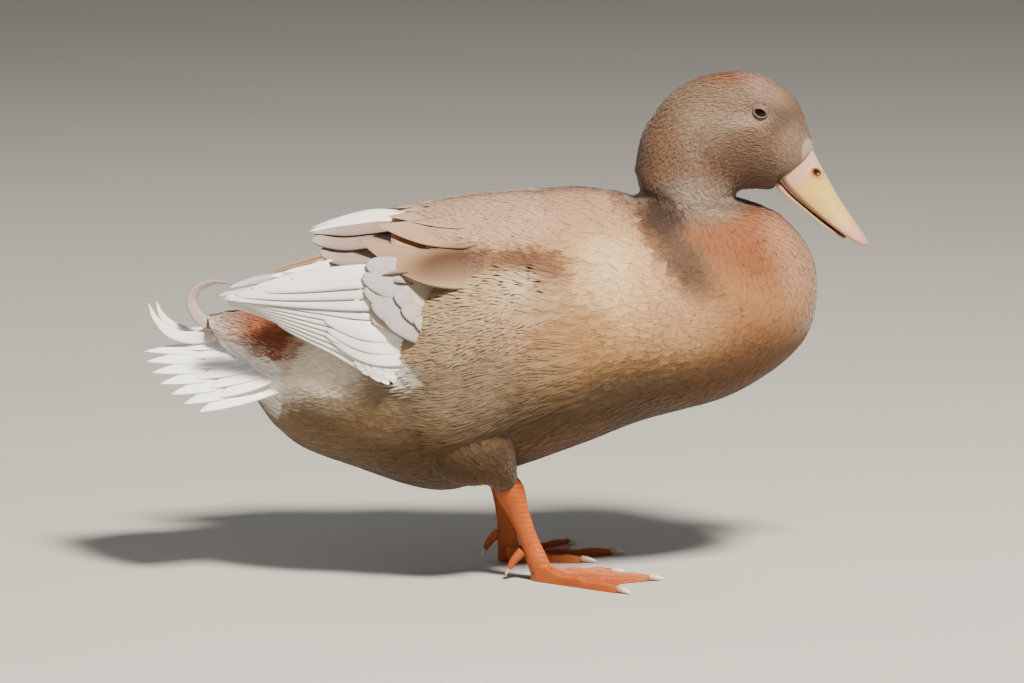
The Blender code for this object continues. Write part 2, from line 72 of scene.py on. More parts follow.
def linear(hex_colour: str) -> Array:
    """Turns an sRGB hex colour into linear red, green and blue."""
    srgb = np.array([int(hex_colour[i : i + 2], 16) for i in (1, 3, 5)]) / 255
    return np.where(srgb <= 0.04045, srgb / 12.92, ((srgb + 0.055) / 1.055) ** 2.4)


def unit(vectors: Array) -> Array:
    """Each vector divided by its own length."""
    return vectors / np.maximum(np.linalg.norm(vectors, axis=-1, keepdims=True), 1e-9)


def dot(a: Array, b: Array) -> Array:
    """Scalar products along the last axis, which is kept."""
    return np.sum(a * b, axis=-1, keepdims=True)


def mix(a: Array, b: Array, share: Array) -> Array:
    """The blend a + (b - a) * share."""
    return a + (b - a) * share


def step(low: float, high: float, value: Array) -> Array:
    """Smooth step: 0 below low, 1 above high and 3t^2 - 2t^3 between them."""
    t = np.clip((np.asarray(value) - low) / (high - low), 0, 1)
    return t * t * (3 - 2 * t)


def rounded(value: Array, power: Array) -> Array:
    """The value with its size raised to a power and its sign kept."""
    return np.sign(value) * np.abs(value) ** power


def curve_through(rows: Array, at: Array) -> Array:
    """Reads a Catmull-Rom curve through the rows.

    Args:
        rows: control rows, one position of the curve each.
        at: places along the curve, counted in rows, of any shape.

    Returns:
        An array of at's shape with one more axis for the row's columns.
    """
    rows = np.asarray(rows, float)
    padded = np.vstack([2 * rows[0] - rows[1], rows, 2 * rows[-1] - rows[-2]])
    at = np.asarray(at, float)
    first = np.clip(np.floor(at).astype(int), 0, len(rows) - 2)
    t = (at - first)[..., None]
    before, here, there, after = (padded[first + k] for k in range(4))
    return 0.5 * (
        2 * here
        + (there - before) * t
        + (2 * before - 5 * here + 4 * there - after) * t**2
        + (3 * here - before - 3 * there + after) * t**3
    )


def drawn(seed: int, *shape: int) -> Array:
    """Even random numbers from 0 to 1 of this shape, the same on every run."""
    return np.random.default_rng(seed).random(shape)


def with_ends(rows: Array) -> Array:
    """A grid's points in one list, with the middles of its first and last rows after them."""
    ends = np.stack([rows[0].mean(axis=0), rows[-1].mean(axis=0)])
    return np.concatenate([rows.reshape(-1, rows.shape[-1]), ends])


def flipped(faces: list[Array], flip: bool = True) -> list[Array]:
    """The faces turned to look the other way, if flip says so."""
    return [f[:, ::-1] for f in faces] if flip else faces


def side_word(side: int) -> str:
    """The name of the side whose y has this sign."""
    return "right" if side < 0 else "left"


# --- Meshes and materials -----------------------------------------------------------------------


class Slot(Enum):
    """Names of material slots, which no piece made here is given."""

    BUFF = "buff_feathers"
    TAUPE = "taupe_feathers"
    CREAM = "cream_feathers"
    WHITE = "white_feathers"
    BILL = "bill_horn"
    FOOT = "foot_skin"
    CLAW = "claw_horn"
    EYE = "eye"


def grid_faces(rows: int, columns: int, closed: bool = False, start: int = 0) -> Array:
    """Quads of a grid of points stored row by row.

    Args:
        rows: number of rows.
        columns: number of points in a row.
        closed: whether each row joins up with its own start.
        start: index of the grid's first point.

    Returns:
        Point indices, four to a face.
    """
    i, j = np.meshgrid(np.arange(rows - 1), np.arange(columns - (not closed)), indexing="ij")
    k = (j + 1) % columns
    corners = (i * columns + j, i * columns + k, (i + 1) * columns + k, (i + 1) * columns + j)
    return np.stack(corners, axis=-1).reshape(-1, 4) + start


def closed_faces(rows: int, ring: int) -> list[Array]:
    """Faces of a tube of closed rows whose two end points follow its grid, facing outwards."""
    j = np.arange(ring)
    k = (j + 1) % ring
    top = (rows - 1) * ring
    first = np.stack([k, j, np.full(ring, rows * ring)], axis=1)
    last = np.stack([top + j, top + k, np.full(ring, rows * ring + 1)], axis=1)
    return [grid_faces(rows, ring, closed=True), first, last]


def make_piece(
    name: str,
    points: Array,
    faces: list[Array],
    material: bpy.types.Material,
    colours: Array | None = None,
    maps: dict[str, Array] | None = None,
    normals: Array | None = None,
) -> bpy.types.Object:
    """Makes one mesh piece, riding on the bird's only body.

    Args:
        name: the piece's name.
        points: places in millimetres.
        faces: arrays of point indices, three or four columns each.
        material: its finish.
        colours: linear colour at each point, kept as the attribute "plumage".
        maps: UV places at each point, by map name.
        normals: shading normal at each point, where it isn't the mesh's own.

    Returns:
        The new object.
    """
    mesh = bpy.data.meshes.new(name)
    counts = np.concatenate([np.full(len(f), f.shape[1], np.int32) for f in faces])
    corners = np.concatenate([f.reshape(-1) for f in faces]).astype(np.int32)
    points = np.asarray(points).reshape(-1, 3)
    mesh.vertices.add(len(points))
    mesh.vertices.foreach_set("co", (points * MM).astype(np.float32).reshape(-1))
    mesh.loops.add(len(corners))
    mesh.loops.foreach_set("vertex_index", corners)
    mesh.polygons.add(len(counts))
    starts = np.concatenate([[0], np.cumsum(counts)[:-1]]).astype(np.int32)
    mesh.polygons.foreach_set("loop_start", starts)
    mesh.polygons.foreach_set("use_smooth", np.full(len(counts), True))
    mesh.update(calc_edges=True)
    if colours is not None:
        tint = mesh.attributes.new("plumage", "FLOAT_COLOR", "POINT")
        rgba = np.ones((len(points), 4), np.float32)
        rgba[:, :3] = np.asarray(colours).reshape(-1, 3)
        tint.data.foreach_set("color", rgba.reshape(-1))
    for map_name, places in (maps or {}).items():
        layer = mesh.uv_layers.new(name=map_name)
        spread = np.asarray(places, np.float32).reshape(-1, 2)[corners]
        layer.data.foreach_set("uv", spread.reshape(-1))
    if normals is not None:
        mesh.normals_split_custom_set_from_vertices(normals.reshape(-1, 3))
    mesh.materials.append(material)
    piece = bpy.data.objects.new(name, mesh)
    bpy.context.scene.collection.objects.link(piece)
    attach(piece, "root")
    LOG.info("%s: %d points, %d faces", name, len(points), len(counts))
    return piece


def add_node(
    tree: bpy.types.NodeTree,
    kind: str,
    settings: dict[str, object] | None = None,
    links: dict[str | int, bpy.types.NodeSocket] | None = None,
) -> bpy.types.Node:
    """Adds a shader node with its settings and links.

    Args:
        tree: the node tree.
        kind: the node's type name.
        settings: values for its properties, or for its inputs where a name starts with "in:".
        links: sockets to link to its inputs, by input name or number.

    Returns:
        The new node.
    """
    node = tree.nodes.new(kind)
    for name, value in (settings or {}).items():
        if name.startswith("in:"):
            node.inputs[name[3:]].default_value = value
        else:
            setattr(node, name, value)
    for name, socket in (links or {}).items():
        tree.links.new(socket, node.inputs[name])
    return node


def blank_material(name: str, **sockets: object) -> tuple[bpy.types.Material, bpy.types.Node]:
    """A material with one Principled shader whose named sockets have these values."""
    material = bpy.data.materials.new(name)
    material.use_nodes = True
    shader = material.node_tree.nodes["Principled BSDF"]
    for socket, value in sockets.items():
        shader.inputs[socket.replace("_", " ")].default_value = value
    return material, shader


def gain_from(
    tree: bpy.types.NodeTree, value: bpy.types.NodeSocket, amount: float
) -> bpy.types.NodeSocket:
    """Turns noise into a gain from 1 - amount to 1 + amount."""
    limits = {"in:From Min": 0.3, "in:From Max": 0.7, "in:To Min": 1 - amount}
    limits["in:To Max"] = 1 + amount
    return add_node(tree, "ShaderNodeMapRange", limits, {"Value": value}).outputs["Result"]


def lay_plumage(
    tree: bpy.types.NodeTree, shader: bpy.types.Node, gain: bpy.types.NodeSocket
) -> None:
    """Makes the plumage attribute, times a gain, the shader's base colour."""
    tint = add_node(tree, "ShaderNodeAttribute", {"attribute_name": "plumage"})
    links = {0: tint.outputs["Color"], "Scale": gain}
    colour = add_node(tree, "ShaderNodeVectorMath", {"operation": "SCALE"}, links)
    tree.links.new(colour.outputs[0], shader.inputs["Base Color"])


def lay_relief(
    tree: bpy.types.NodeTree,
    shader: bpy.types.Node,
    height: bpy.types.NodeSocket,
    strength: float,
    depth: float,
) -> None:
    """Gives the shader a relief of this depth in millimetres."""
    settings = {"in:Strength": strength, "in:Distance": depth * MM}
    bump = add_node(tree, "ShaderNodeBump", settings, {"Height": height})
    tree.links.new(bump.outputs["Normal"], shader.inputs["Normal"])


@dataclass(frozen=True)
class CoatFinish:
    """Contour feathers: matt keratin barbs that scatter light softly along the coat's edge.

    The plumage attribute gives the colour. Fine streaks run along each lock on its own map, as
    barbs do, and a wider cloud varies whole feathers.
    """

    name: str
    roughness: float = 0.72
    sheen: float = 0.2
    cloud: float = 0.06
    cloud_size: float = 16.0  # mm
    streak: float = 0.09
    streak_size: tuple[float, float] = (0.5, 16.0)  # mm across and along

    def material(self) -> bpy.types.Material:
        """Builds the node material."""
        material, shader = blank_material(self.name, Roughness=self.roughness)
        shader.inputs["Sheen Weight"].default_value = self.sheen
        shader.inputs["Sheen Roughness"].default_value = 0.4
        shader.inputs["Specular IOR Level"].default_value = 0.3
        tree = material.node_tree
        place = add_node(tree, "ShaderNodeTexCoord")
        cloud = self.noise(tree, place.outputs["Object"], 1 / (self.cloud_size * MM), 2.0)
        lie = add_node(tree, "ShaderNodeUVMap", {"uv_map": "Vane"})
        across, along = self.streak_size
        drawn_out = add_node(
            tree,
            "ShaderNodeMapping",
            {"in:Scale": (100 / across, 100 / along, 1.0)},
            {"Vector": lie.outputs["UV"]},
        )
        streak = self.noise(tree, drawn_out.outputs["Vector"], 1.0, 1.0)
        gain = add_node(
            tree,
            "ShaderNodeMath",
            {"operation": "MULTIPLY"},
            {0: gain_from(tree, cloud, self.cloud), 1: gain_from(tree, streak, self.streak)},
        )
        lay_plumage(tree, shader, gain.outputs[0])
        return material

    def noise(
        self, tree: bpy.types.NodeTree, vector: bpy.types.NodeSocket, scale: float, detail: float
    ) -> bpy.types.NodeSocket:
        """A noise texture's value over this vector."""
        settings = {"in:Scale": scale, "in:Detail": detail}
        node = add_node(tree, "ShaderNodeTexNoise", settings, {"Vector": vector})
        return node.outputs["Fac"]


@dataclass(frozen=True)
class VaneFinish:
    """Flight and tail feathers: stiff smooth vanes with a satin gloss across slanting barbs."""

    name: str
    roughness: float = 0.68
    barb_spacing: float = 1.3  # mm; life is 0.3, too fine to show
    depth: float = 0.12  # mm

    def material(self) -> bpy.types.Material:
        """Builds the node material, whose barbs run on the feather's own map in millimetres."""
        material, shader = blank_material(self.name, Roughness=self.roughness)
        shader.inputs["Sheen Weight"].default_value = 0.1
        shader.inputs["Specular IOR Level"].default_value = 0.2
        tree = material.node_tree
        lie = add_node(tree, "ShaderNodeUVMap", {"uv_map": "Vane"})
        wave = add_node(
            tree,
            "ShaderNodeTexWave",
            {
                "bands_direction": "Y",
                "in:Scale": 31.4 / self.barb_spacing,
                "in:Distortion": 1.2,
                "in:Detail": 2.0,
                "in:Detail Scale": 1.5,
            },
            {"Vector": lie.outputs["UV"]},
        )
        gain = add_node(
            tree,
            "ShaderNodeMapRange",
            {"in:To Min": 0.93, "in:To Max": 1.03},
            {"Value": wave.outputs["Fac"]},
        )
        lay_plumage(tree, shader, gain.outputs["Result"])
        lay_relief(tree, shader, wave.outputs["Fac"], 0.5, self.depth)
        return material


@dataclass(frozen=True)
class HornFinish:
    """Keratin sheath or scaly skin: waxy, slightly translucent, with fine cells in its surface."""

    name: str
    roughness: float
    cell: float  # mm
    relief: float  # mm
    subsurface: float = 0.1
    variation: float = 0.08

    def material(self) -> bpy.types.Material:
        """Builds the node material."""
        material, shader = blank_material(self.name, Roughness=self.roughness)
        shader.inputs["Subsurface Weight"].default_value = self.subsurface
        shader.inputs["Subsurface Radius"].default_value = (1.0, 0.35, 0.15)
        shader.inputs["Subsurface Scale"].default_value = 0.002
        tree = material.node_tree
        place = add_node(tree, "ShaderNodeTexCoord")
        cells = add_node(
            tree,
            "ShaderNodeTexVoronoi",
            {"feature": "DISTANCE_TO_EDGE", "in:Scale": 1 / (self.cell * MM)},
            {"Vector": place.outputs["Object"]},
        )
        flat = add_node(
            tree,
            "ShaderNodeMapRange",
            {"in:From Max": 0.16},
            {"Value": cells.outputs["Distance"]},
        )
        cloud = add_node(
            tree,
            "ShaderNodeTexNoise",
            {"in:Scale": 1 / (5 * MM), "in:Detail": 4.0},
            {"Vector": place.outputs["Object"]},
        )
        lay_plumage(tree, shader, gain_from(tree, cloud.outputs["Fac"], self.variation))
        lay_relief(tree, shader, flat.outputs["Result"], 0.6, self.relief)
        return material


@dataclass(frozen=True)
class EyeFinish:
    """A wet cornea over a dark iris: hard gloss and clear highlights."""

    name: str = "wet_cornea"

    def material(self) -> bpy.types.Material:
        """Builds the node material, coloured by the plumage attribute."""
        material, shader = blank_material(self.name, Roughness=0.05, IOR=1.376)
        shader.inputs["Specular IOR Level"].default_value = 0.35
        tree = material.node_tree
        tint = add_node(tree, "ShaderNodeAttribute", {"attribute_name": "plumage"})
        tree.links.new(tint.outputs["Color"], shader.inputs["Base Color"])
        return material


# --- Markings -----------------------------------------------------------------------------------


@dataclass(frozen=True)
class Mark:
    """One soft-edged patch of colour, an ellipse in the bird's side view."""

    colour: str
    centre: tuple[float, float]  # x, z
    radii: tuple[float, float]
    turn: float = 0.0  # degrees, the first radius tilting up towards the bill
    strength: float = 1.0
    softness: float = 0.35
    off_middle: tuple[float, float] = (-1.0, 999.0)  # distances from the middle plane it covers

    def cover(self, places: Array) -> Array:
        """How much of the mark's colour each place takes, from 0 to its strength."""
        angle = math.radians(self.turn)
        dx, dz = places[..., 0] - self.centre[0], places[..., 2] - self.centre[1]
        along = (dx * math.cos(angle) + dz * math.sin(angle)) / self.radii[0]
        across = (dz * math.cos(angle) - dx * math.sin(angle)) / self.radii[1]
        inside = 1 - step(1 - self.softness, 1 + self.softness, np.hypot(along, across))
        off = np.abs(places[..., 1])
        near, far = self.off_middle
        band = step(near - 6, near + 6, off) * (1 - step(far - 6, far + 6, off))
        return (self.strength * inside * band)[..., None]


@dataclass(frozen=True)
class Plumage:
    """The drake's markings, with painted shade and painted light among them, the same for skin and coat:
    a ground colour and marks laid over it.
    """

    ground: str = "#956A3B"
    marks: tuple[Mark, ...] = (
        # Underside, vent and thighs: their buff darkened by painted shade under the body.
        Mark("#746146", (-70, 95), (95, 62), 0, 0.85, 0.4),
        Mark("#644E2F", (20, 70), (90, 34), 12, 0.6, 0.5),
        # The vent's cream, brightened by painted light where the wing's shadow falls.
        Mark("#E0D2BE", (-108, 127), (30, 19), -8, 0.95, 0.6),
        # Painted shadow under the wing's tip, in the crease behind the thigh and under the belly.
        Mark("#5A4933", (-80, 93), (48, 17), -12, 0.75, 0.6),
        Mark("#403220", (-64, 108), (14, 24), 0, 0.7, 0.7),
        Mark("#50391F", (-50, 66), (74, 22), -4, 0.6, 0.6),
        Mark("#443420", (-28, 80), (44, 15), 0, 0.7, 0.6),
        # Flank and shoulder.
        Mark("#9C7751", (20, 150), (70, 50), 10, 0.8, 0.5),
        Mark("#866744", (5, 118), (90, 26), 14, 0.6, 0.6),
        Mark("#C6A577", (66, 178), (24, 30), 20, 0.9, 0.7),
        Mark("#91683B", (44, 150), (30, 14), 0, 0.6, 0.7),
        Mark("#88623B", (30, 108), (60, 20), 15, 0.45, 0.6),
        Mark("#85765F", (-24, 122), (44, 26), 6, 0.8, 0.6),
        Mark("#9A8770", (-4, 98), (22, 13), 12, 0.8, 0.6),
        # Back.
        Mark("#9C795D", (45, 222), (50, 22), 0, 0.8, 0.4),
        Mark("#A1846E", (-20, 215), (50, 24), 0, 0.8, 0.4),
        Mark("#8F745E", (-80, 190), (50, 26), 0, 0.6, 0.4),
        # Painted shade on the mound of the back between the shoulder feathers.
        Mark("#795D50", (28, 228), (66, 20), 0, 0.85, 0.3, (-9.0, 13.0)),
        # Breast, richest where it meets the neck.
        Mark("#8C613E", (150, 160), (72, 62), 60, 0.85, 0.35),
        Mark("#734020", (140, 204), (48, 24), -14, 0.92, 0.5),
        Mark("#987559", (180, 168), (18, 40), 0, 0.5, 0.6),
        # Painted highlight on the upper front of the breast.
        Mark("#A8866C", (167, 196), (14, 30), 24, 0.4, 0.6),
        Mark("#B28B66", (97, 165), (22, 40), 24, 0.6, 0.6),
        # Painted shade under the breast.
        Mark("#805835", (120, 112), (60, 24), 25, 0.5, 0.6),
        # Painted shade along the lower flank and under the breast.
        Mark("#452E14", (32, 80), (115, 28), 13, 0.8, 0.55),
        Mark("#4A3922", (62, 97), (86, 32), 8, 0.8, 0.4),
        Mark("#5E3E22", (134, 120), (42, 19), 32, 0.75, 0.6),
        Mark("#6A4426", (40, 82), (30, 9), 14, 0.5, 0.7),
        # Shoulder blades: tawny patches, pale spots and cream down under them.
        Mark("#462811", (-29, 189), (24, 10), 6, 1.0, 0.5, (45.0, 999.0)),
        Mark("#57351D", (14, 187), (24, 10), -4, 0.95, 0.5, (45.0, 999.0)),
        Mark("#B0A086", (4, 177), (10, 4), 0, 0.7, 0.7, (60.0, 999.0)),
        Mark("#B3A48D", (58, 191), (8, 10), 10, 0.55, 0.7, (50.0, 999.0)),
        Mark("#9C866C", (-22, 163), (38, 19), 0, 0.9, 0.75, (56.0, 999.0)),
        Mark("#D5D0C8", (-60, 130), (11, 7), -40, 0.8, 0.6, (66.0, 999.0)),
        # Rump.
        Mark("#883F1A", (-138, 147), (24, 20), -20, 0.95, 0.45),
        Mark("#602E16", (-129, 143), (10, 10), 0, 0.7, 0.6),
        Mark("#8C7568", (-168, 148), (18, 16), 20, 0.85, 1.0),
        Mark("#EAE4DC", (-156, 121), (34, 16), -22, 0.95, 0.35),
        Mark("#E4DBD2", (-174, 134), (12, 16), 0, 0.8, 0.5),
        # Neck and head.
        Mark("#67503D", (112, 243), (52, 34), 20, 1.0, 0.18),
        Mark("#6B5543", (130, 262), (56, 44), 0, 1.0, 0.15),
        Mark("#7D6B58", (114, 260), (17, 14), 10, 0.7, 0.6),
        Mark("#664B37", (90, 250), (13, 23), 10, 0.75, 0.6),
        # A dark streak down the base of the neck: partly its dark feathers, partly painted shadow under
        # the neck.
        Mark("#2B1C12", (92, 214), (12, 17), -40, 0.97, 0.5, (12.0, 999.0)),
        Mark("#382415", (102, 190), (12, 25), 38, 0.9, 0.6, (18.0, 999.0)),
        Mark("#6D4223", (83, 201), (3.2, 17), 36, 0.45, 0.9, (20.0, 999.0)),
        Mark("#716255", (116, 224), (23, 10), -8, 0.8, 0.5),
        Mark("#634532", (126, 242), (13, 11), 0, 0.45, 0.7),
        Mark("#5A4230", (138, 250), (20, 14), -10, 0.5, 0.7),
        Mark("#4F3B2D", (160, 267), (10, 9), 40, 0.75, 0.7),
        Mark("#867562", (137, 266), (13, 4), 8, 0.7, 0.7),
        Mark("#704026", (125, 293), (24, 6), -4, 0.8, 0.7),
        Mark("#866C5D", (148, 288), (17, 7), -40, 0.6, 0.7),
        Mark("#7B6A5B", (166, 250), (9, 14), 0, 0.6, 0.6),
        Mark("#998175", (175.0, 245), (4.2, 9.5), 5, 1.0, 0.25, (2.0, 999.0)),
    )

    def colour(self, places: Array) -> Array:
        """Linear colour at each place, given in millimetres."""
        shade = np.broadcast_to(linear(self.ground), (*places.shape[:-1], 3))
        for mark in self.marks:
            shade = mix(shade, linear(mark.colour), mark.cover(places))
        return shade


# --- Forms --------------------------------------------------------------------------------------


class Form:
    """A closed form over u, from one end to the other, and v, once round from 0 to 1."""

    last: float  # u at the far end
    lie: float  # +1 where feathers lie along rising u, -1 where they lie against it
    hand: float  # which way round v turns, so that normals point outwards

    def surface(self, u: Array, v: Array) -> Array:
        """Places on the form."""
        raise NotImplementedError

    def bare(self, places: Array) -> Array:
        """Whether no feather is rooted at each place."""
        return np.zeros(places.shape[:-1], bool)

    def fold(self, v: Array) -> Array:
        """Share of the way from the top line, 0, to the lowest, 1."""
        return 2 * np.minimum(v % 1, 1 - v % 1)

    def frame(self, u: Array, v: Array) -> tuple[Array, Array, Array, Array]:
        """Places, their rates of change along u and v, and outward normals."""
        du, dv = 0.02, 0.002
        near = np.clip(u, du, self.last - du)
        along = (self.surface(near + du, v) - self.surface(near - du, v)) / (2 * du)
        around = (self.surface(u, v + dv) - self.surface(u, v - dv)) / (2 * dv)
        normal = self.hand * unit(np.cross(along, around))
        return self.surface(u, v), along, around, normal

    def scatter(self, count: int, start: float, end: float, seed: int) -> tuple[Array, Array]:
        """Roots spread evenly by area, from the R2 low-discrepancy sequence.

        Args:
            count: how many.
            start: lowest u.
            end: highest u.
            seed: shifts the sequence.

        Returns:
            u and v of each root.
        """
        rows, columns = 80, 96
        us = np.linspace(start, end, rows)
        vs = (np.arange(columns) + 0.5) / columns
        _, along, around, _ = self.frame(*np.meshgrid(us, vs, indexing="ij"))
        area = np.linalg.norm(np.cross(along, around), axis=-1)
        down = np.concatenate([[0], np.cumsum(area.sum(axis=1))])
        index = np.arange(1, count + 1) + seed * 101
        first, second = (index * R2_STEPS[0]) % 1, (index * R2_STEPS[1]) % 1
        row_place = np.interp(first, down / down[-1], np.arange(rows + 1)) - 0.5
        row = np.clip(np.round(row_place).astype(int), 0, rows - 1)
        across = np.cumsum(area, axis=1)
        across = across / across[:, -1:]
        flat = (across + np.arange(rows)[:, None]).reshape(-1)
        found = np.searchsorted(flat, row + second) - row * columns
        v = (np.clip(found, 0, columns - 1) + drawn(seed, count)) / columns
        return np.clip(np.interp(row_place, np.arange(rows), us), start, end), v % 1

    def trail(
        self, u: Array, v: Array, length: Array, turn: Array, steps: int
    ) -> tuple[Array, Array, Array]:
        """Walks over the form from each root, the way the feathers lie.

        Each step solves the form's metric for the change of u and v that moves a set distance.

        Args:
            u: roots' u.
            v: roots' v.
            length: how far each goes.
            turn: angle from the lie, in radians.
            steps: number of steps.

        Returns:
            Places, normals and sideways unit vectors, with the steps along the first axis.
        """
        places, normals, sides = [], [], []
        reach = (length / steps)[..., None]
        for _ in range(steps + 1):
            here, along, around, normal = self.frame(u, v)
            ahead = unit(along) * self.lie
            aside = np.cross(normal, ahead)
            heading = ahead * np.cos(turn)[..., None] + aside * np.sin(turn)[..., None]
            places.append(here)
            normals.append(normal)
            sides.append(np.cross(normal, heading))
            e, f, g = dot(along, along), dot(along, around), dot(around, around)
            a, b = dot(heading, along) * reach, dot(heading, around) * reach
            det = e * g - f * f + 1e-3 * g
            u = np.clip(u + np.clip((a * g - b * f) / det, -0.7, 0.7)[..., 0], 0, self.last)
            v = v + np.clip((b * e - a * f) / det, -0.06, 0.06)[..., 0]
        return np.stack(places), np.stack(normals), np.stack(sides)


@dataclass(frozen=True)
class Swell:
    """A soft rise or hollow in the form: height * exp(-(distance / radius)^2)."""

    centre: tuple[float, float, float]  # x, distance from the middle plane, z
    radius: float
    height: float

    def rise(self, places: Array) -> Array:
        """Its height at each place, on both sides of the bird."""
        folded = np.stack([places[..., 0], np.abs(places[..., 1]), places[..., 2]], axis=-1)
        away = np.linalg.norm(folded - np.array(self.centre), axis=-1)
        return (self.height * np.exp(-((away / self.radius) ** 2)))[..., None]


@dataclass(frozen=True)
class BodyForm(Form):
    """The feathered body from tail root to bill: a loft of rings that turns through the breast.

    Each station gives a ring's back and belly points in the middle plane, its half width, the
    height share of its widest place and its fullness, where 2 is an ellipse. Between stations
    the values follow Catmull-Rom curves.
    """

    stations: tuple[tuple[float, ...], ...] = (
        (-171, 149, -163, 130, 14, 0.5, 2.0),
        (-147, 157, -144, 100, 34, 0.5, 2.1),
        (-122, 171, -124, 76, 53, 0.48, 2.15),
        (-90, 189, -90, 62, 67, 0.46, 2.2),
        (-48, 208, -37, 47, 75, 0.46, 2.2),
        (-2, 222, 9, 61.5, 77, 0.47, 2.2),
        (38, 227, 49, 76, 75, 0.48, 2.2),
        (63, 224.6, 80, 88, 69.5, 0.5, 2.2),
        (73.0, 222.3, 136, 105, 62, 0.5, 2.15),
        (75, 222.6, 176, 137, 55, 0.5, 2.1),
        (75.6, 223.6, 181.5, 180, 46, 0.5, 2.05),
        (75.6, 225, 162, 209, 38, 0.5, 2.0),
        (75.2, 227.5, 137.5, 218.5, 32, 0.5, 2.0),
        (74.8, 238, 137.2, 222.8, 28, 0.5, 2.0),
        (82, 263.4, 141.7, 224, 25.5, 0.48, 2.0),
        (103.5, 286, 147.5, 223.8, 25.5, 0.45, 2.0),
        (138.5, 293, 152.7, 223.6, 24.5, 0.42, 2.05),
        (165.5, 280, 155.5, 225, 20.5, 0.38, 2.05),
        (176.5, 257.5, 156.7, 227.3, 15.5, 0.42, 2.1),
        (178.3, 248.5, 157.6, 228.6, 12.6, 0.45, 2.2),
    )
    swells: tuple[Swell, ...] = (
        Swell((146.5, 22.0, 271.0), 5.6, -3.2),  # eye socket
        Swell((149.0, 21.0, 277.5), 6.0, 1.6),  # brow
        Swell((150.0, 22.0, 255.0), 12.0, 0.9),  # cheek
        Swell((163.0, 17.0, 262.0), 6.0, -0.9),  # hollow before the eye
        Swell((-22.0, 62.0, 100.0), 26.0, 1.6),  # flank over the thigh
        Swell((-62.0, 66.0, 96.0), 16.0, -2.0),  # fold behind the thigh
        Swell((-88.0, 52.0, 92.0), 24.0, 1.0),  # vent fluff
        Swell((-14.0, 70.0, 166.0), 27.0, 7.5),  # down before the wing
        Swell((-34.0, 74.0, 136.0), 22.0, 4.5),  # flank before the wing
    )
    depths: tuple[float, ...] = (2.6, 2.4, 1.3, 0.5)  # coat at rump, breast, nape and bill
    depth_places: tuple[float, ...] = (0.0, 10.5, 13.5, 19.0)
    last: float = 19.0
    lie: float = -1.0
    hand: float = 1.0

    def outer(self, u: Array, v: Array) -> Array:
        """Places on the outside of the coat, as the solids have it."""
        values = np.moveaxis(curve_through(np.array(self.stations), u), -1, 0)
        back_x, back_z, belly_x, belly_z, wide, widest, full = values
        up, aside = np.cos(2 * math.pi * v), np.sin(2 * math.pi * v)
        power = 2 / full
        share = widest + np.where(up > 0, 1 - widest, widest) * rounded(up, power)
        x = mix(belly_x, back_x, share)
        z = mix(belly_z, back_z, share)
        return np.stack([x, wide * rounded(aside, power), z], axis=-1)

    def surface(self, u: Array, v: Array) -> Array:
        """Places on the skin: the outside drawn in by the coat's depth, with its swells."""
        du, dv = 0.02, 0.002
        here = self.outer(u, v)
        low, high = np.clip(u - du, 0, self.last), np.clip(u + du, 0, self.last)
        along = self.outer(high, v) - self.outer(low, v)
        around = self.outer(u, v + dv) - self.outer(u, v - dv)
        normal = unit(np.cross(along, around))
        depth = np.interp(u, self.depth_places, self.depths)[..., None]
        return here + normal * (sum(swell.rise(here) for swell in self.swells) - depth)

    def bare(self, places: Array) -> Array:
        """Whether a place is in the eye's opening, the nape's crease, or under bill or wing."""
        x, off, z = places[..., 0], np.abs(places[..., 1]), places[..., 2]
        wing = (np.abs(x + 74) < 22) & (z > 162) & (z < 196) & (off > 45)
        fore, up = 0.92 * (x - 147.4) - 0.39 * (z - 270.8), 0.92 * (z - 270.8) + 0.39 * (x - 147.4)
        eye = (np.hypot(fore / 5.0, up / 2.9) < 1) & (off > 8)
        bill = (np.hypot((x - 175.2) / 3.2, (z - 245) / 8.2) < 1) & (off > 4)
        crease = (x > 74) & (x < 79) & (z > 224) & (z < 237) & (off < 22)
        return wing | eye | bill | crease


def ovals(centres: Array, radii: Array, at: Array, v: Array) -> Array:
    """Places on ovals square to a curve of centres.

    Args:
        centres: control points of the curve.
        radii: fore-and-aft and sideways radii at the control points.
        at: places along the curve, counted in control points.
        v: turns round the oval, from the rear, with the shape of at.

    Returns:
        Places, one for each pair of at and v.
    """
    line, size = curve_through(centres, at), curve_through(radii, at)
    ahead = unit(curve_through(centres, at + 0.01) - curve_through(centres, at - 0.01))
    fore = unit(np.cross(np.array([0.0, 1.0, 0.0]), ahead))
    aside = np.cross(ahead, fore)
    angle = 2 * math.pi * v[..., None]
    return line + fore * size[..., :1] * np.cos(angle) + aside * size[..., 1:] * np.sin(angle)


@dataclass(frozen=True)
class ThighForm(Form):
    """A feathered drumstick from the flank to the ankle."""

    side: int
    ankle_x: float
    inset: float = 1.3
    last: float = 4.0
    lie: float = 1.0
    hand: float = -1.0

    def surface(self, u: Array, v: Array) -> Array:
        """Places on the skin, inside the solid by the coat's depth."""
        s = self.side
        centres = (
            (-26, s * 40, 110),
            (-22, s * 47, 97),
            (-15, s * 49, 81),
            (self.ankle_x - 5, s * 41, 67),
            (self.ankle_x - 1, s * 34, 58.5),
        )
        radii = np.array(((30, 12), (36, 19), (29, 19), (13, 12), (8.2, 7.2))) - self.inset
        return ovals(centres, radii, np.broadcast_to(u, np.shape(v)), v)


# --- Skin and coat ------------------------------------------------------------------------------


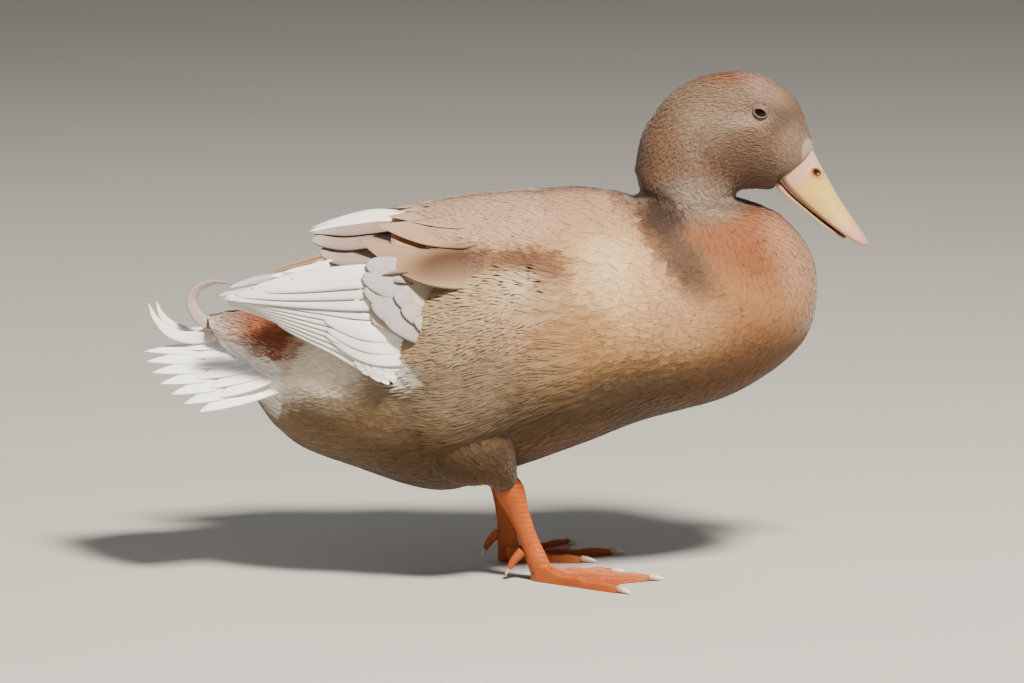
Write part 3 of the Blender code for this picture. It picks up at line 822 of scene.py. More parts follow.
@dataclass(frozen=True)
class Skin:
    """One closed skin under the whole coat: body, neck, head and both drumsticks."""

    plumage: Plumage
    body: BodyForm
    thighs: tuple[ThighForm, ...]
    rows_per_span: int = 8
    points_round: int = 120
    flesh: tuple[str, ...] = ("head", "neck", "breast", "trunk", "rump")

    def shell(self, form: Form, rows: int, columns: int) -> tuple[Array, list[Array]]:
        """A form's surface as a closed grid whose ends are drawn in to a point."""
        u, v = np.meshgrid(
            np.linspace(0, form.last, rows), np.arange(columns) / columns, indexing="ij"
        )
        return with_ends(form.surface(u, v)), flipped(closed_faces(rows, columns), form.hand > 0)

    def build(self) -> bpy.types.Object:
        """Makes the joined skin and lays the markings on it."""
        finish = CoatFinish("skin_and_down", cloud=0.12).material()
        rows = int(self.body.last) * self.rows_per_span + 1
        points, faces = self.shell(self.body, rows, self.points_round)
        skin = make_piece("skin", points, faces, finish)
        for number, thigh in enumerate(self.thighs):
            points, faces = self.shell(thigh, 40, 48)
            part = make_piece(f"thigh_form_{number}", points, faces, finish)
            join = skin.modifiers.new("join", "BOOLEAN")
            join.operation, join.solver, join.object = "UNION", "EXACT", part
            with bpy.context.temp_override(object=skin, active_object=skin):
                bpy.ops.object.modifier_apply(modifier="join")
            bpy.data.objects.remove(part)
        self.dress(skin)
        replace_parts(skin, *self.flesh, "thigh_left", "thigh_right")
        return skin

    def dress(self, skin: bpy.types.Object) -> None:
        """Gives each point of the skin the markings at its place, darkened by painted shade for the shade
        under the coat.
        """
        mesh = skin.data
        places = np.empty(len(mesh.vertices) * 3, np.float32)
        mesh.vertices.foreach_get("co", places)
        # Painted shade: the skin is darker than the coat over it.
        shade = self.plumage.colour(places.reshape(-1, 3) / MM) * UNDERCOAT_PAINTED_SHADE
        tint = mesh.attributes.new("plumage", "FLOAT_COLOR", "POINT")
        rgba = np.concatenate([shade, np.ones((len(shade), 1))], axis=1)
        tint.data.foreach_set("color", rgba.astype(np.float32).reshape(-1))
        mesh.polygons.foreach_set("use_smooth", np.full(len(mesh.polygons), True))


@dataclass(frozen=True)
class Region:
    """How the coat lies on one stretch of a form. Lengths in mm, angles in degrees."""

    name: str
    start: float  # u
    end: float
    spacing: float  # between roots
    length: float
    width: float  # of one lock
    locks: int = 1  # to a feather
    fan: float = 0.0  # between a feather's middle and its outer lock
    lift: float = 1.2  # of the tips above the skin
    sunk: float = 0.5  # of the roots below it
    turn_spread: float = 6.0
    length_end: float | None = None  # length at the far end, where it changes
    frost: float = 0.08  # how much paler the tips are
    variety: float = 0.07
    seed: int = 1
    pieces: int = 1
    stray: float = 2.5  # a lock's own turn, in degrees
    ruffle: float = 0.1  # a lock's own share of the lift
    keel: float = 0.2  # depth of a lock below its upper face
    droop: float = 0.0  # how far the feathers turn down, in degrees
    folds: tuple[float, float] = (0.0, 1.0)  # from the top line, 0, to the lowest, 1
    lock_variety: float = 0.06
    # Painted shade at the roots, where the feathers over them shade them.
    depth_shade: float = 0.04  # how much darker the roots are
    round: float = 0.14  # how far the shading rounds a lock from edge to edge
    fade: float = 0.0  # share of the region over which the lift grows from its edges

    def rising(self, u: Array, fold: Array) -> Array:
        """Share of the lift each root has, 0 on the region's front and side edges."""
        if self.fade == 0:
            return np.ones(len(u))
        low, high = self.folds
        ahead = (self.end - u) / (self.end - self.start)
        aside = np.minimum(fold - low, high - fold) / (high - low)
        return step(0, self.fade, ahead) * step(0, self.fade / 2, aside)


@dataclass(frozen=True)
class Coat:
    """Feathers over one form, each a fan of tapering locks rooted in the skin.

    A lock follows the skin from its root in three steps. Its section is a flat triangle, two
    upper edges and a keel, of width w * sin(pi * t^0.7)^0.6 at the share t of its length. Its
    height over the skin goes from -sunk at the root to lift at the tip.
    """

    form: Form
    plumage: Plumage
    unwrap_start: float
    unwrap_width: float
    steps: int = 3

    def roots(self, region: Region) -> tuple[Array, Array]:
        """Feather roots of a region, left out under the wings and on the eye."""
        us = np.linspace(region.start, region.end, 60)
        vs = np.arange(60) / 60
        _, along, around, _ = self.form.frame(*np.meshgrid(us, vs, indexing="ij"))
        density = np.linalg.norm(np.cross(along, around), axis=-1).mean()
        area = density * (region.end - region.start)
        count = int(area / region.spacing**2)
        u, v = self.form.scatter(count, region.start, region.end, region.seed)
        places = self.form.surface(u, v)
        keep = ~self.form.bare(places)
        near, aside = (7, 26) if region.length > 10 else (3, 12)  # of the nape's bend
        nape = np.hypot(places[:, 0] - NAPE_AT[0], places[:, 2] - NAPE_AT[1]) < near
        keep &= ~(nape & (np.abs(places[:, 1]) < aside))
        fold = self.form.fold(v)
        keep &= (fold >= region.folds[0]) & (fold <= region.folds[1])
        u, v = u[keep], v[keep]
        length = np.full(len(u), region.length)
        path, normals, _ = self.form.trail(u, v, length, 0 * length, self.steps)
        chord = 0.9 if region.length > 10 else 0.6
        straight = np.linalg.norm(path[-1] - path[0], axis=-1) > chord * region.length
        straight &= (dot(normals[:1], normals)[..., 0] > 0.3).all(axis=0)
        end = u < 1.0 if self.form.lie < 0 else u > 0.75 * self.form.last
        return u[straight | end], v[straight | end]

    def grow(self, region: Region) -> None:
        """Makes the feathers of one region, in as many pieces as it names."""
        material = CoatFinish(f"feathers_{region.name}").material()
        u, v = self.roots(region)
        order = np.argsort(self.form.surface(u, v)[:, 1], kind="stable")
        for number, chosen in enumerate(np.array_split(order, region.pieces)):
            self.piece(region, f"coat_{region.name}_{number}", u[chosen], v[chosen], material)

    def piece(
        self, region: Region, name: str, u: Array, v: Array, material: bpy.types.Material
    ) -> None:
        """One mesh of feathers rooted at u and v."""
        count, locks = len(u), region.locks
        chance = drawn(region.seed + 7, count, 4)
        fan = np.linspace(-1, 1, locks) if locks > 1 else np.zeros(1)
        wobble = drawn(region.seed + 8, count, locks, 3) - 0.5
        root_places = self.form.surface(u, v)
        turn = (chance[:, :1] - 0.5) * 2 * region.turn_spread + fan * region.fan
        turn = turn - region.droop * np.sign(root_places[:, 1:2])
        turn = np.radians(turn + wobble[..., 0] * region.stray)
        far = region.length if region.length_end is None else region.length_end
        length = mix(region.length, far, (u - region.start) / (region.end - region.start))
        length = length[:, None] * (0.85 + 0.3 * chance[:, 1:2])
        length = length * (1 - 0.22 * fan**2) * (1 + 0.16 * wobble[..., 1])
        from_eye = np.hypot(root_places[:, 0] - EYE_AT[0], root_places[:, 2] - EYE_AT[1])[:, None]
        length = length * (0.45 + 0.55 * step(6, 15, from_eye))
        wide = region.width * (1 + 0.3 * wobble[..., 2])
        spread = [np.broadcast_to(a[:, None], (count, locks)).reshape(-1) for a in (u, v)]
        places, normals, sides = self.form.trail(
            *spread, length.reshape(-1), turn.reshape(-1), self.steps
        )
        shapes = (count * locks,)
        wide = np.broadcast_to(wide, (count, locks)).reshape(-1)
        tip_lift = np.broadcast_to(0.8 + 0.4 * chance[:, 2:3] + 0 * fan, (count, locks))
        rising = region.rising(u, self.form.fold(v))[:, None]
        lift = mix(np.minimum(region.lift, 0.5), region.lift, rising)
        tip_lift = ((tip_lift + region.ruffle * wobble[..., 1]) * lift).reshape(-1)
        roll = np.broadcast_to(0.1 * fan, (count, locks)).reshape(-1)
        rings, leans, local = [], [], []
        for index in range(self.steps + 1):
            t = index / self.steps
            rise = (mix(-region.sunk, tip_lift, t**0.8))[:, None]
            middle = places[index] + normals[index] * rise
            half = (wide / 2 * math.sin(math.pi * t**0.7) ** 0.6 if 0 < t < 1 else 0 * wide)
            half = half[:, None]
            bank = sides[index] - normals[index] * roll[:, None]
            lean = normals[index] - 0.5 * roll[:, None] * sides[index]
            if 0 < index < self.steps:
                ring = [middle + bank * half, middle - normals[index] * region.keel]
                ring.append(middle - bank * half)
                swing = region.round * sides[index]
                leans.extend([lean + swing, lean, lean - swing])
                local.extend([(t, 0.75), (t, 0.5), (t, 0.25)])
            else:
                ring = [middle]
                leans.append(lean)
                local.append((t, 0.5))
            rings.extend(ring)
        points = np.stack(rings, axis=1)
        colours = self.tint(region, points, count, locks, np.array(local)[:, 0])
        soft = unit(np.stack(leans, axis=1))
        local = np.array(local)
        start = drawn(region.seed + 11, shapes[0], 1, 2) * 3
        lie = np.stack([(local[:, 1] - 0.5) * region.width * 2, local[:, 0] * region.length], -1)
        maps = {"OFBake": self.patches(*spread, local), "Vane": lie[None] / 100 + start}
        base = self.lock_faces()
        offset = (np.arange(shapes[0]) * points.shape[1])[:, None, None]
        faces = [(f[None] + offset).reshape(-1, f.shape[1]) for f in base]
        make_piece(name, points, faces, material, colours, maps, soft.reshape(-1, 3))

    def lock_faces(self) -> list[Array]:
        """Faces of one lock: a root point, three-point rings and a tip point."""
        rings = self.steps - 1
        tip = 1 + 3 * rings
        around = ((0, 1), (1, 2), (2, 0))
        root = [(0, 1 + a, 1 + b) for a, b in around]
        end = [(tip, tip - 3 + b, tip - 3 + a) for a, b in around]
        sides = [
            (1 + 3 * r + b, 1 + 3 * r + a, 4 + 3 * r + a, 4 + 3 * r + b)
            for r in range(rings - 1)
            for a, b in around
        ]
        return [np.array(root + end), np.array(sides)]

    def tint(self, region: Region, points: Array, count: int, locks: int, along: Array) -> Array:
        """Colour of each point: the markings at the feather's middle, varied, frosted and given painted
        shade at the roots.
        """
        roots = points.reshape(count, locks, -1, 3)
        middle = roots[:, locks // 2, points.shape[1] // 2]
        shade = self.plumage.colour(middle)[:, None, None, :]
        feather = 1 + region.variety * (drawn(region.seed + 9, count, 1, 1, 1) - 0.5) * 2
        lock = 1 + region.lock_variety * (drawn(region.seed + 10, count, locks, 1, 1) - 0.5) * 2
        # Painted shade: each lock is darker towards its root.
        depth = 1 - region.depth_shade * (1 - along[None, None, :, None])
        shade = shade * feather * lock * depth
        pale = 1 + region.frost * along[None, None, :, None] ** 2
        return (shade * pale).reshape(-1, 3)

    def patches(self, u: Array, v: Array, local: Array) -> Array:
        """OFBake places: each lock a patch 0.003 across at its root's place on the unwrap."""
        across = self.unwrap_start + (self.unwrap_width - 2 * PATCH) * (v % 1) + PATCH
        down = 0.01 + 0.98 * u / self.form.last
        root = np.stack([across, down], axis=-1)[:, None, :]
        return root + PATCH * (local[None] - 0.5)


# --- Large feathers -----------------------------------------------------------------------------


@dataclass(frozen=True)
class Vane:
    """The build of one kind of large feather. Lengths in mm.

    Its outline is w * min(1, a + t / b) * (1 - t^p)^q at the share t of its length. Its section
    arches over the shaft by camber * (1 - s^2), s running from edge to edge, and the shaft stands
    up as a fine ridge. Near the tip the edges are torn into barbs.
    """

    half_width: float  # w
    base: float = 0.45  # a
    opening: float = 0.5  # b
    tip_power: float = 5.0  # p
    tip_round: float = 0.5  # q
    camber: float = 0.9
    thickness: float = 0.5
    shaft: float = 0.3
    torn: float = 0.0  # share of the width
    rows: int = 16
    columns: int = 9

    def shares(self) -> tuple[Array, Array]:
        """Shares of the length and positions across the width, ready to broadcast."""
        t = np.linspace(0, 0.992, self.rows)[None, :, None]
        return t, np.linspace(-1, 1, self.columns)[None, None, :]

    def points(self, line: Array, outwards: Array, width: Array, bank: Array, seed: int) -> Array:
        """Places on a set of feathers, upper face first and then the under face.

        Args:
            line: each feather's shaft, feathers x rows x 3.
            outwards: directions its outer face looks in, with the same shape.
            width: share of the full width that each feather has.
            bank: slope across each feather.
            seed: for the torn edges.

        Returns:
            Feathers x rows x points round the section x 3.
        """
        t, s = self.shares()
        ahead = unit(np.gradient(line, axis=1))
        aside = unit(np.cross(outwards, ahead))[:, :, None]
        out = np.cross(ahead[:, :, None], aside)
        outline = np.minimum(1, self.base + t / self.opening)
        outline = outline * (1 - t**self.tip_power) ** self.tip_round
        outline = outline * self.half_width * width[:, None, None]
        ragged = 1 - self.torn * drawn(seed, *line.shape[:2], 2) * step(0.4, 0.9, t[..., 0])[..., None]
        edge = np.where(s < 0, ragged[..., :1], ragged[..., 1:])
        across = s * outline * np.where(np.abs(s) > 0.7, edge, 1.0)
        rise = self.camber * (1 - s**2) + self.shaft * np.exp(-((s / 0.12) ** 2)) * (1 - t)
        rise = rise * outline / self.half_width + bank[:, None, None] * across
        top = line[:, :, None] + aside * across[..., None] + out * rise[..., None]
        thick = self.thickness * (1 - 0.9 * s**4) * (1 - 0.8 * t**6) + 0 * rise
        under = (top - out * thick[..., None])[:, :, -2:0:-1]
        return np.concatenate([top, under], axis=2)

    def faces(self, count: int) -> list[Array]:
        """Faces of that many feathers, with roots and tips closed."""
        columns, ring = self.columns, 2 * self.columns - 2
        quads, corners = [grid_faces(self.rows, ring, closed=True)[:, ::-1]], []
        for row, turn in ((0, 1), (self.rows - 1, -1)):
            over = row * ring + np.arange(columns)
            below = row * ring + (ring - np.arange(columns)) % ring
            below[-1] = over[-1]
            quads.append(
                np.stack([over[1:-2], over[2:-1], below[2:-1], below[1:-2]], axis=1)[:, ::turn]
            )
            corners.append([over[0], over[1], below[1]][::turn])
            corners.append([over[-2], over[-1], below[-2]][::turn])
        offset = (np.arange(count) * self.rows * ring)[:, None, None]
        both = (np.concatenate(quads), np.array(corners))
        return [(f[None] + offset).reshape(-1, f.shape[1]) for f in both]

    def positions(self, count: int) -> tuple[Array, Array]:
        """Share along and position across for every point of that many feathers."""
        t, s = self.shares()
        s = np.concatenate([s, s[..., -2:0:-1]], axis=2)
        shape = (count, self.rows, s.shape[2])
        return np.broadcast_to(t, shape), np.broadcast_to(s, shape)


@dataclass(frozen=True)
class Tints:
    """The colours of one kind of large feather."""

    middle: str
    edge: str
    tip: str
    base: str
    variety: float = 0.05

    def shade(self, t: Array, s: Array, seed: int) -> Array:
        """Linear colour at share t along and position s across, feathers x rows x points x 3.

        The edge colour is on the side where s is near 1.
        """
        t, s = t[..., None], s[..., None]
        colour = mix(linear(self.base), linear(self.middle), step(0.1, 0.5, t))
        colour = mix(colour, linear(self.edge), step(0.6, 1.0, s))
        colour = mix(colour, linear(self.tip), step(0.55, 1.0, t))
        return colour * (1 + self.variety * (2 * drawn(seed, len(t), 1, 1, 1) - 1))


@dataclass(frozen=True)
class Rank:
    """A rank of large feathers of one kind, made as one piece."""

    name: str
    vane: Vane
    tints: Tints
    slot: Slot = Slot.WHITE
    edge: int = 0  # the side that has the edge colour, +1 or -1, or 0 for both

    def make(
        self,
        line: Array,
        outwards: Array,
        width: Array | float = 1.0,
        bank: Array | float = 0.0,
        seed: int = 3,
        plumage: Plumage | None = None,
    ) -> bpy.types.Object:
        """Makes the piece from shafts.

        Args:
            line: each feather's shaft, feathers x rows x 3.
            outwards: directions its outer face looks in.
            width: share of the full width, for each feather.
            bank: slope across each feather.
            seed: for its chances.
            plumage: markings whose colours take the place of the tints' middle.

        Returns:
            The new object.
        """
        count = len(line)
        width, bank = np.broadcast_to(width, count), np.broadcast_to(bank, count)
        points = self.vane.points(line, outwards, width, bank, seed)
        t, s = self.vane.positions(count)
        colours = self.tints.shade(t, s * self.edge if self.edge else np.abs(s), seed + 1)
        if plumage is not None:
            colours = plumage.colour(points) * colours / linear(self.tints.middle)
        length = np.linalg.norm(np.diff(line, axis=1), axis=2).sum(axis=1)[:, None, None]
        across = s * self.vane.half_width * width[:, None, None]
        barbs = np.stack([across, t * length - 0.9 * np.abs(across)], axis=-1) / 100
        maps = {"OFBake": self.cells(t, s, count), "Vane": barbs}
        finish = VaneFinish(f"vanes_{self.name}").material()
        faces = self.vane.faces(count)
        return make_piece(self.name, points, faces, finish, colours, maps)

    def cells(self, t: Array, s: Array, count: int) -> Array:
        """OFBake places: each feather in a cell of its own, with its faces side by side."""
        wide = math.ceil(math.sqrt(count))
        number = np.arange(count)[:, None, None]
        ring = np.arange(t.shape[2])
        under = ring >= self.vane.columns
        u = (number % wide + 0.04 + 0.44 * (s + 1) / 2 + 0.48 * under) / wide
        v = (number // wide + 0.04 + 0.92 * t) / wide
        return np.stack([u, v + 0 * u], axis=-1)


# --- Wings --------------------------------------------------------------------------------------


@dataclass(frozen=True)
class WingSheet(Form):
    """The outside of one layer of a folded wing, u from front to tips and v from top to bottom.

    Between the two edges it bulges by b * sin(pi v)^0.8 * (1 - 0.7 u^2), and over the front
    it comes up out of the body.
    """

    side: int
    upper: tuple[tuple[float, float, float], ...]  # x, distance from the middle plane, z
    lower: tuple[tuple[float, float, float], ...]
    bulge: float
    sunk: float
    thick_front: float
    thick_tip: float
    fall: float = 0.0  # how much lower its rear hangs
    emerging: float = 0.3  # u by which it is out of the body
    rear: float = 0.96  # u where its slab ends
    last: float = 1.0
    lie: float = 1.0

    def fold(self, v: Array) -> Array:
        """Share of the way from the upper edge, 0, to the lower, 1."""
        return v

    @property
    def hand(self) -> float:
        """+1 on the right side, -1 on the left."""
        return -self.side

    def edges(self, u: Array) -> tuple[Array, Array, Array]:
        """Upper edge, lower edge and the direction out of the sheet at u."""
        at = np.asarray(u) * (len(self.upper) - 1)
        upper, lower = curve_through(self.upper, at), curve_through(self.lower, at)
        run = lower - upper
        out = unit(np.stack([0 * run[..., 0], -run[..., 2], run[..., 1]], axis=-1))
        return upper, lower, out

    def surface(self, u: Array, v: Array) -> Array:
        """Places on the sheet."""
        u, v = np.broadcast_arrays(u, v)
        upper, lower, out = self.edges(u)
        swell = self.bulge * np.sin(math.pi * np.clip(v, 0, 1)) ** 0.8 * (1 - 0.7 * u**2)
        swell = swell - self.sunk * (1 - step(0, self.emerging, u))
        place = mix(upper, lower, v[..., None]) + out * swell[..., None]
        place = place - np.array([0, 0, self.fall]) * step(0, 0.6, u)[..., None]
        return place * (1, self.side, 1)

    def shell(self, name: str, colour: str, slot: Slot, nodes: tuple[str, ...]) -> None:
        """The layer's own body: a closed slab under its feathers, in the place of the nodes."""
        rows, columns = 28, 22
        across = np.linspace(0.02, 0.98, columns)
        u, v = np.meshgrid(np.linspace(0, self.rear, rows), across, indexing="ij")
        top = self.surface(u, v) - self.edges(u)[2] * (1, self.side, 1) * 1.6
        thick = mix(self.thick_front, self.thick_tip, u**0.7) * 0.7
        thick = thick * (0.3 + 0.7 * np.sin(math.pi * v) ** 0.5)
        under = top - self.edges(u)[2] * (1, self.side, 1) * thick[..., None]
        rings = np.concatenate([top, under[:, ::-1]], axis=1)
        ring = rings.shape[1]
        walls = grid_faces(rows, ring, closed=True)
        k = np.arange(columns - 1)
        first = np.stack([k, ring - 1 - k, ring - 2 - k, k + 1], axis=1)
        faces = [walls, first, (first + (rows - 1) * ring)[:, ::-1]]
        faces = flipped(faces, self.side < 0)
        shade = np.broadcast_to(linear(colour), rings.shape)
        finish = CoatFinish(f"down_{name}", cloud=0.1).material()
        piece = make_piece(name, rings, faces, finish, shade)
        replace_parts(piece, *nodes)

    def find(self, x: Array, z: Array) -> tuple[Array, Array]:
        """u and v of places seen from the side, by Newton's method on the sheet."""
        u, v = np.full(np.shape(x), 0.5), np.full(np.shape(x), 0.5)
        for _ in range(25):
            here = self.surface(u, v)[..., [0, 2]]
            du = (self.surface(u + 0.01, v)[..., [0, 2]] - here) / 0.01
            dv = (self.surface(u, v + 0.01)[..., [0, 2]] - here) / 0.01
            miss = np.stack([x, z - self.fall], axis=-1) - here
            det = du[..., 0] * dv[..., 1] - du[..., 1] * dv[..., 0]
            det = np.where(np.abs(det) < 50, 50 * np.sign(det + 1e-9), det)
            u = u + np.clip((miss[..., 0] * dv[..., 1] - miss[..., 1] * dv[..., 0]) / det, -0.2, 0.2)
            v = v + np.clip((du[..., 0] * miss[..., 1] - du[..., 1] * miss[..., 0]) / det, -0.2, 0.2)
            u, v = np.clip(u, 0.0, 1.1), np.clip(v, -0.3, 1.3)
        return u, v

    def shafts(
        self, start: Array, end: Array, rows: int, height: Array, bow: float = 0.0
    ) -> tuple[Array, Array]:
        """Feather shafts laid over the sheet.

        Args:
            start: roots as u and v, feathers x 2.
            end: tips as u and v.
            rows: points along each shaft.
            height: height over the sheet at root and tip, feathers x 2, in mm.
            bow: how far each bends towards the sheet's lower edge, as a share of v.

        Returns:
            Shafts and outward directions, feathers x rows x 3.
        """
        t = np.linspace(0, 1, rows)[None, :]
        u = mix(start[:, :1], end[:, :1], t)
        v = mix(start[:, 1:], end[:, 1:], t) + bow * np.sin(math.pi * t)
        place, _, _, normal = self.frame(u, v)
        rise = mix(height[:, :1], height[:, 1:], t)
        return place + normal * rise[..., None], normal


@dataclass(frozen=True)
class Wing:
    """One folded wing: four sheets, each with its slab and its ranks of feathers.

    Tables give places seen from the side, x and z, in order from the topmost feather down.
    """

    side: int
    plumage: Plumage
    lower_tips: tuple[tuple[float, float], ...] = (
        (-101.9, 150.4), (-97.3, 146.1), (-92.6, 142.9), (-87.2, 139.8), (-81.3, 136.9),
        (-75.0, 134.2),
    )
    lower_roots: tuple[tuple[float, float], ...] = (
        (-50.5, 141.4), (-49.3, 137.5), (-48.2, 134.6), (-47.0, 132.3), (-45.9, 130.4),
        (-44.7, 128.6),
    )
    greater_tips: tuple[tuple[float, float], ...] = (
        (-78.4, 190.2), (-80.5, 183.7), (-79.4, 176.7), (-75.3, 169.3), (-68.3, 162.4),
    )
    greater_roots: tuple[tuple[float, float], ...] = (
        (-44.5, 185.9), (-43.9, 173.4), (-41.6, 163.1), (-37.0, 154.1), (-30.1, 147.3),
    )

    @property
    def word(self) -> str:
        """The side's name."""
        return side_word(self.side)

    def sheet(self, *sizes: object, rear: float = 0.96) -> WingSheet:
        """A sheet of this wing whose slab ends at u = rear."""
        return WingSheet(self.side, *sizes, rear=rear)

    def build(self) -> None:
        """Builds every layer."""
        self.flight()
        self.coverts()
        self.tertials()
        self.scapulars()

    def between(
        self,
        sheet: WingSheet,
        roots: tuple | Array,
        tips: tuple | Array,
        rows: int,
        root_lift: tuple[float, float],
        tip_lift: tuple[float, float],
        bow: float = 0.0,
    ) -> tuple[Array, Array]:
        """Shafts between roots and tips given in the side view.

        Args:
            sheet: the sheet they lie on.
            roots: x and z of each root.
            tips: x and z of each tip.
            rows: points along each shaft.
            root_lift: heights over the sheet of the first and last root.
            tip_lift: the same for the tips.
            bow: bend towards the lower edge, as a share of the sheet's width.

        Returns:
            Shafts and outward directions.
        """
        roots, tips = np.array(roots, float), np.array(tips, float)
        start = np.stack(sheet.find(roots[:, 0], roots[:, 1]), axis=-1)
        end = np.stack(sheet.find(tips[:, 0], tips[:, 1]), axis=-1)
        lifts = np.stack(
            [np.linspace(*root_lift, len(roots)), np.linspace(*tip_lift, len(roots))], axis=1
        )
        return sheet.shafts(start, end, rows, lifts, bow)

    @property
    def far(self) -> float:
        """1 on the far side of the bird, where the wing hangs lower, and 0 on the near side."""
        return float(self.side > 0)

    def flight(self) -> None:
        """Flight bands with painted shade on their lower edges; under them a white field, ribs and a
        puff.
        """
        sheet = self.sheet(
            ((-40, 70, 184), (-80, 67, 186), (-112, 60, 182), (-140, 54, 176), (-164, 49, 169)),
            ((-38, 80, 127), (-70, 77, 125), (-100, 71, 141), (-134, 61, 157), (-161, 51, 165)),
            3.0,
            12.0,
            10.0,
            1.6,
            14.0 * self.far,
        )
        name = f"wing_{self.word}_flight"
        sheet.shell(f"{name}_slab", "#D9D2CC", Slot.WHITE, (name,))
        # The grey edge colour, on each feather's lower edge, is painted shade: the shadow line it casts
        # on the feather below.
        tints = Tints("#F4F1EC", "#7F8083", "#F1EFEB", "#EDE8E1", 0.02)
        lean = -0.1 * self.side
        share = np.linspace(0, 1, 9)
        start = np.stack([mix(0.1, 0.32, share), mix(0.31, 0.93, share)], axis=1)
        end = np.stack([mix(0.985, 0.72, share), mix(0.42, 0.95, share)], axis=1)
        vane = Vane(3.5, 0.9, 0.3, 7.0, 0.7, 0.4, 0.4, 0.15, 0.0, rows=24, columns=9)
        lifts = np.stack([mix(0.9, -0.5, share), mix(0.9, -0.3, share)], axis=1)
        line, out = sheet.shafts(start, end, vane.rows, lifts)
        Rank(f"{name}_upper", vane, tints, edge=-self.side).make(line, out, 1.0, lean, 31)
        broad = Vane(7.5, 0.9, 0.3, 4.0, 0.8, 0.7, 0.4, 0.2, 0.0, rows=24, columns=11)
        start = np.array([(0.1, 0.24), (0.1, 0.13), (0.1, 0.04)])
        end = np.array([(0.97, 0.36), (0.9, 0.25), (0.8, 0.12)])
        lifts = np.array([(1.1, 1.0), (1.4, 1.2), (1.7, 1.4)])
        line, out = sheet.shafts(start, end, broad.rows, lifts)
        # Its grey lower edges are painted shade as well.
        pale = Tints("#F1EBE4", "#9C9EA4", "#E4E3E3", "#E9DFD6", 0.02)
        Rank(f"{name}_broad", broad, pale, edge=-self.side).make(line, out, 1.0, lean / 2, 30)
        roots, tips = ((-43, 140), (-42, 146), (-40, 152)), ((-99, 148), (-101, 153), (-102, 158))
        field = Vane(7.0, 0.9, 0.3, 3.0, 0.8, 0.7, 0.5, 0.1, 0.0, rows=20, columns=11)
        line, out = self.between(sheet, roots, tips, field.rows, (1.4, 1.9), (1.0, 1.5))
        # Its pale grey lower edges are painted shade as well.
        pale = Tints("#F3EEE8", "#D5CFCA", "#F1EEEA", "#EFE6DD", 0.02)
        Rank(f"{name}_field", field, pale, edge=-self.side).make(line, out, 1.0, lean / 3, 34)
        # The lower bands take the same painted shade on their lower edges.
        vane = Vane(2.9, 0.9, 0.3, 7.0, 0.7, 0.4, 0.4, 0.15, 0.0, rows=18, columns=9)
        line, out = self.between(
            sheet, self.lower_roots, self.lower_tips, vane.rows, (1.2, 0.2), (1.0, 0.2)
        )
        Rank(f"{name}_lower", vane, tints, edge=-self.side).make(line, out, 1.0, lean, 32)
        tips = ((-161.5, 168.8), (-164.2, 169.2), (-158.0, 173.5))
        roots = ((-92.0, 160.0), (-98.0, 164.0), (-88.0, 174.0))
        slim = Vane(4.0, 0.8, 0.4, 2.4, 0.8, 0.5, 0.5, 0.2, 0.0, rows=20)
        line, out = self.between(sheet, roots, tips, slim.rows, (-1.4, -0.4), (-1.2, -0.2))
        grey = Tints("#B5B7BB", "#92969E", "#D2D3D6", "#BAB7B2", 0.04)
        Rank(f"{name}_primaries", slim, grey).make(line, out, 1.0, 0.0, 33)
        puff = Region(f"puff_{self.word}", 0.14, 0.28, 3.0, 12.0, 3.2, 7, 16, 1.2, 0.2, 8, seed=51)
        puff = replace(puff, folds=(0.74, 0.98), frost=0.0, variety=0.02, ruffle=0.05, keel=0.12)
        Coat(sheet, Plumage("#F0EBE4", ()), 0.0, 0.9).grow(puff)
        if self.side < 0:
            self.loose_ends(sheet, name)
        else:
            slim = Vane(2.0, 0.9, 0.3, 1.6, 0.8, 0.5, 0.5, 0.2, 0.0, rows=24)
            roots, tips = ((-105.0, 176.0 + sheet.fall),), ((-162.6, 166.2 + sheet.fall),)
            line, out = self.between(sheet, roots, tips, slim.rows, (1.0, 1.0), (1.0, 1.0))
            tan = Tints("#B5977A", "#9E7F64", "#C3B7A6", "#AB8A6B")
            Rank(f"{name}_spike", slim, tan).make(line, out, 1.0, 0.0, 38)

    def loose_ends(self, sheet: WingSheet, name: str) -> None:
        """A frayed white feather and a rufous one that show behind the tertials."""
        rows = 24
        slim = Vane(3.4, 0.9, 0.3, 2.4, 0.8, 0.5, 0.4, 0.2, 0.1, rows=rows)
        roots, tips = ((-76.0, 186.0),), ((-121.0, 179.6),)
        line, out = self.between(sheet, roots, tips, rows, (-20.0, -20.0), (2.4, 2.4))
        rufous = Tints("#763D1B", "#623318", "#8A5F40", "#763D1B")
        Rank(f"{name}_rufous", slim, rufous, Slot.BUFF).make(line, out, 1.0, 0.0, 39)
        frayed = replace(slim, half_width=4.4, torn=0.5)
        roots, tips = ((-76.0, 190.0),), ((-133.0, 180.6),)
        line, out = self.between(sheet, roots, tips, rows, (-22.0, -22.0), (3.2, 3.2))
        white = Tints("#F3EFEA", "#E9E2DA", "#F3EFEA", "#E4D8CC")
        Rank(f"{name}_frayed", frayed, white).make(line, out, 1.0, 0.0, 40)

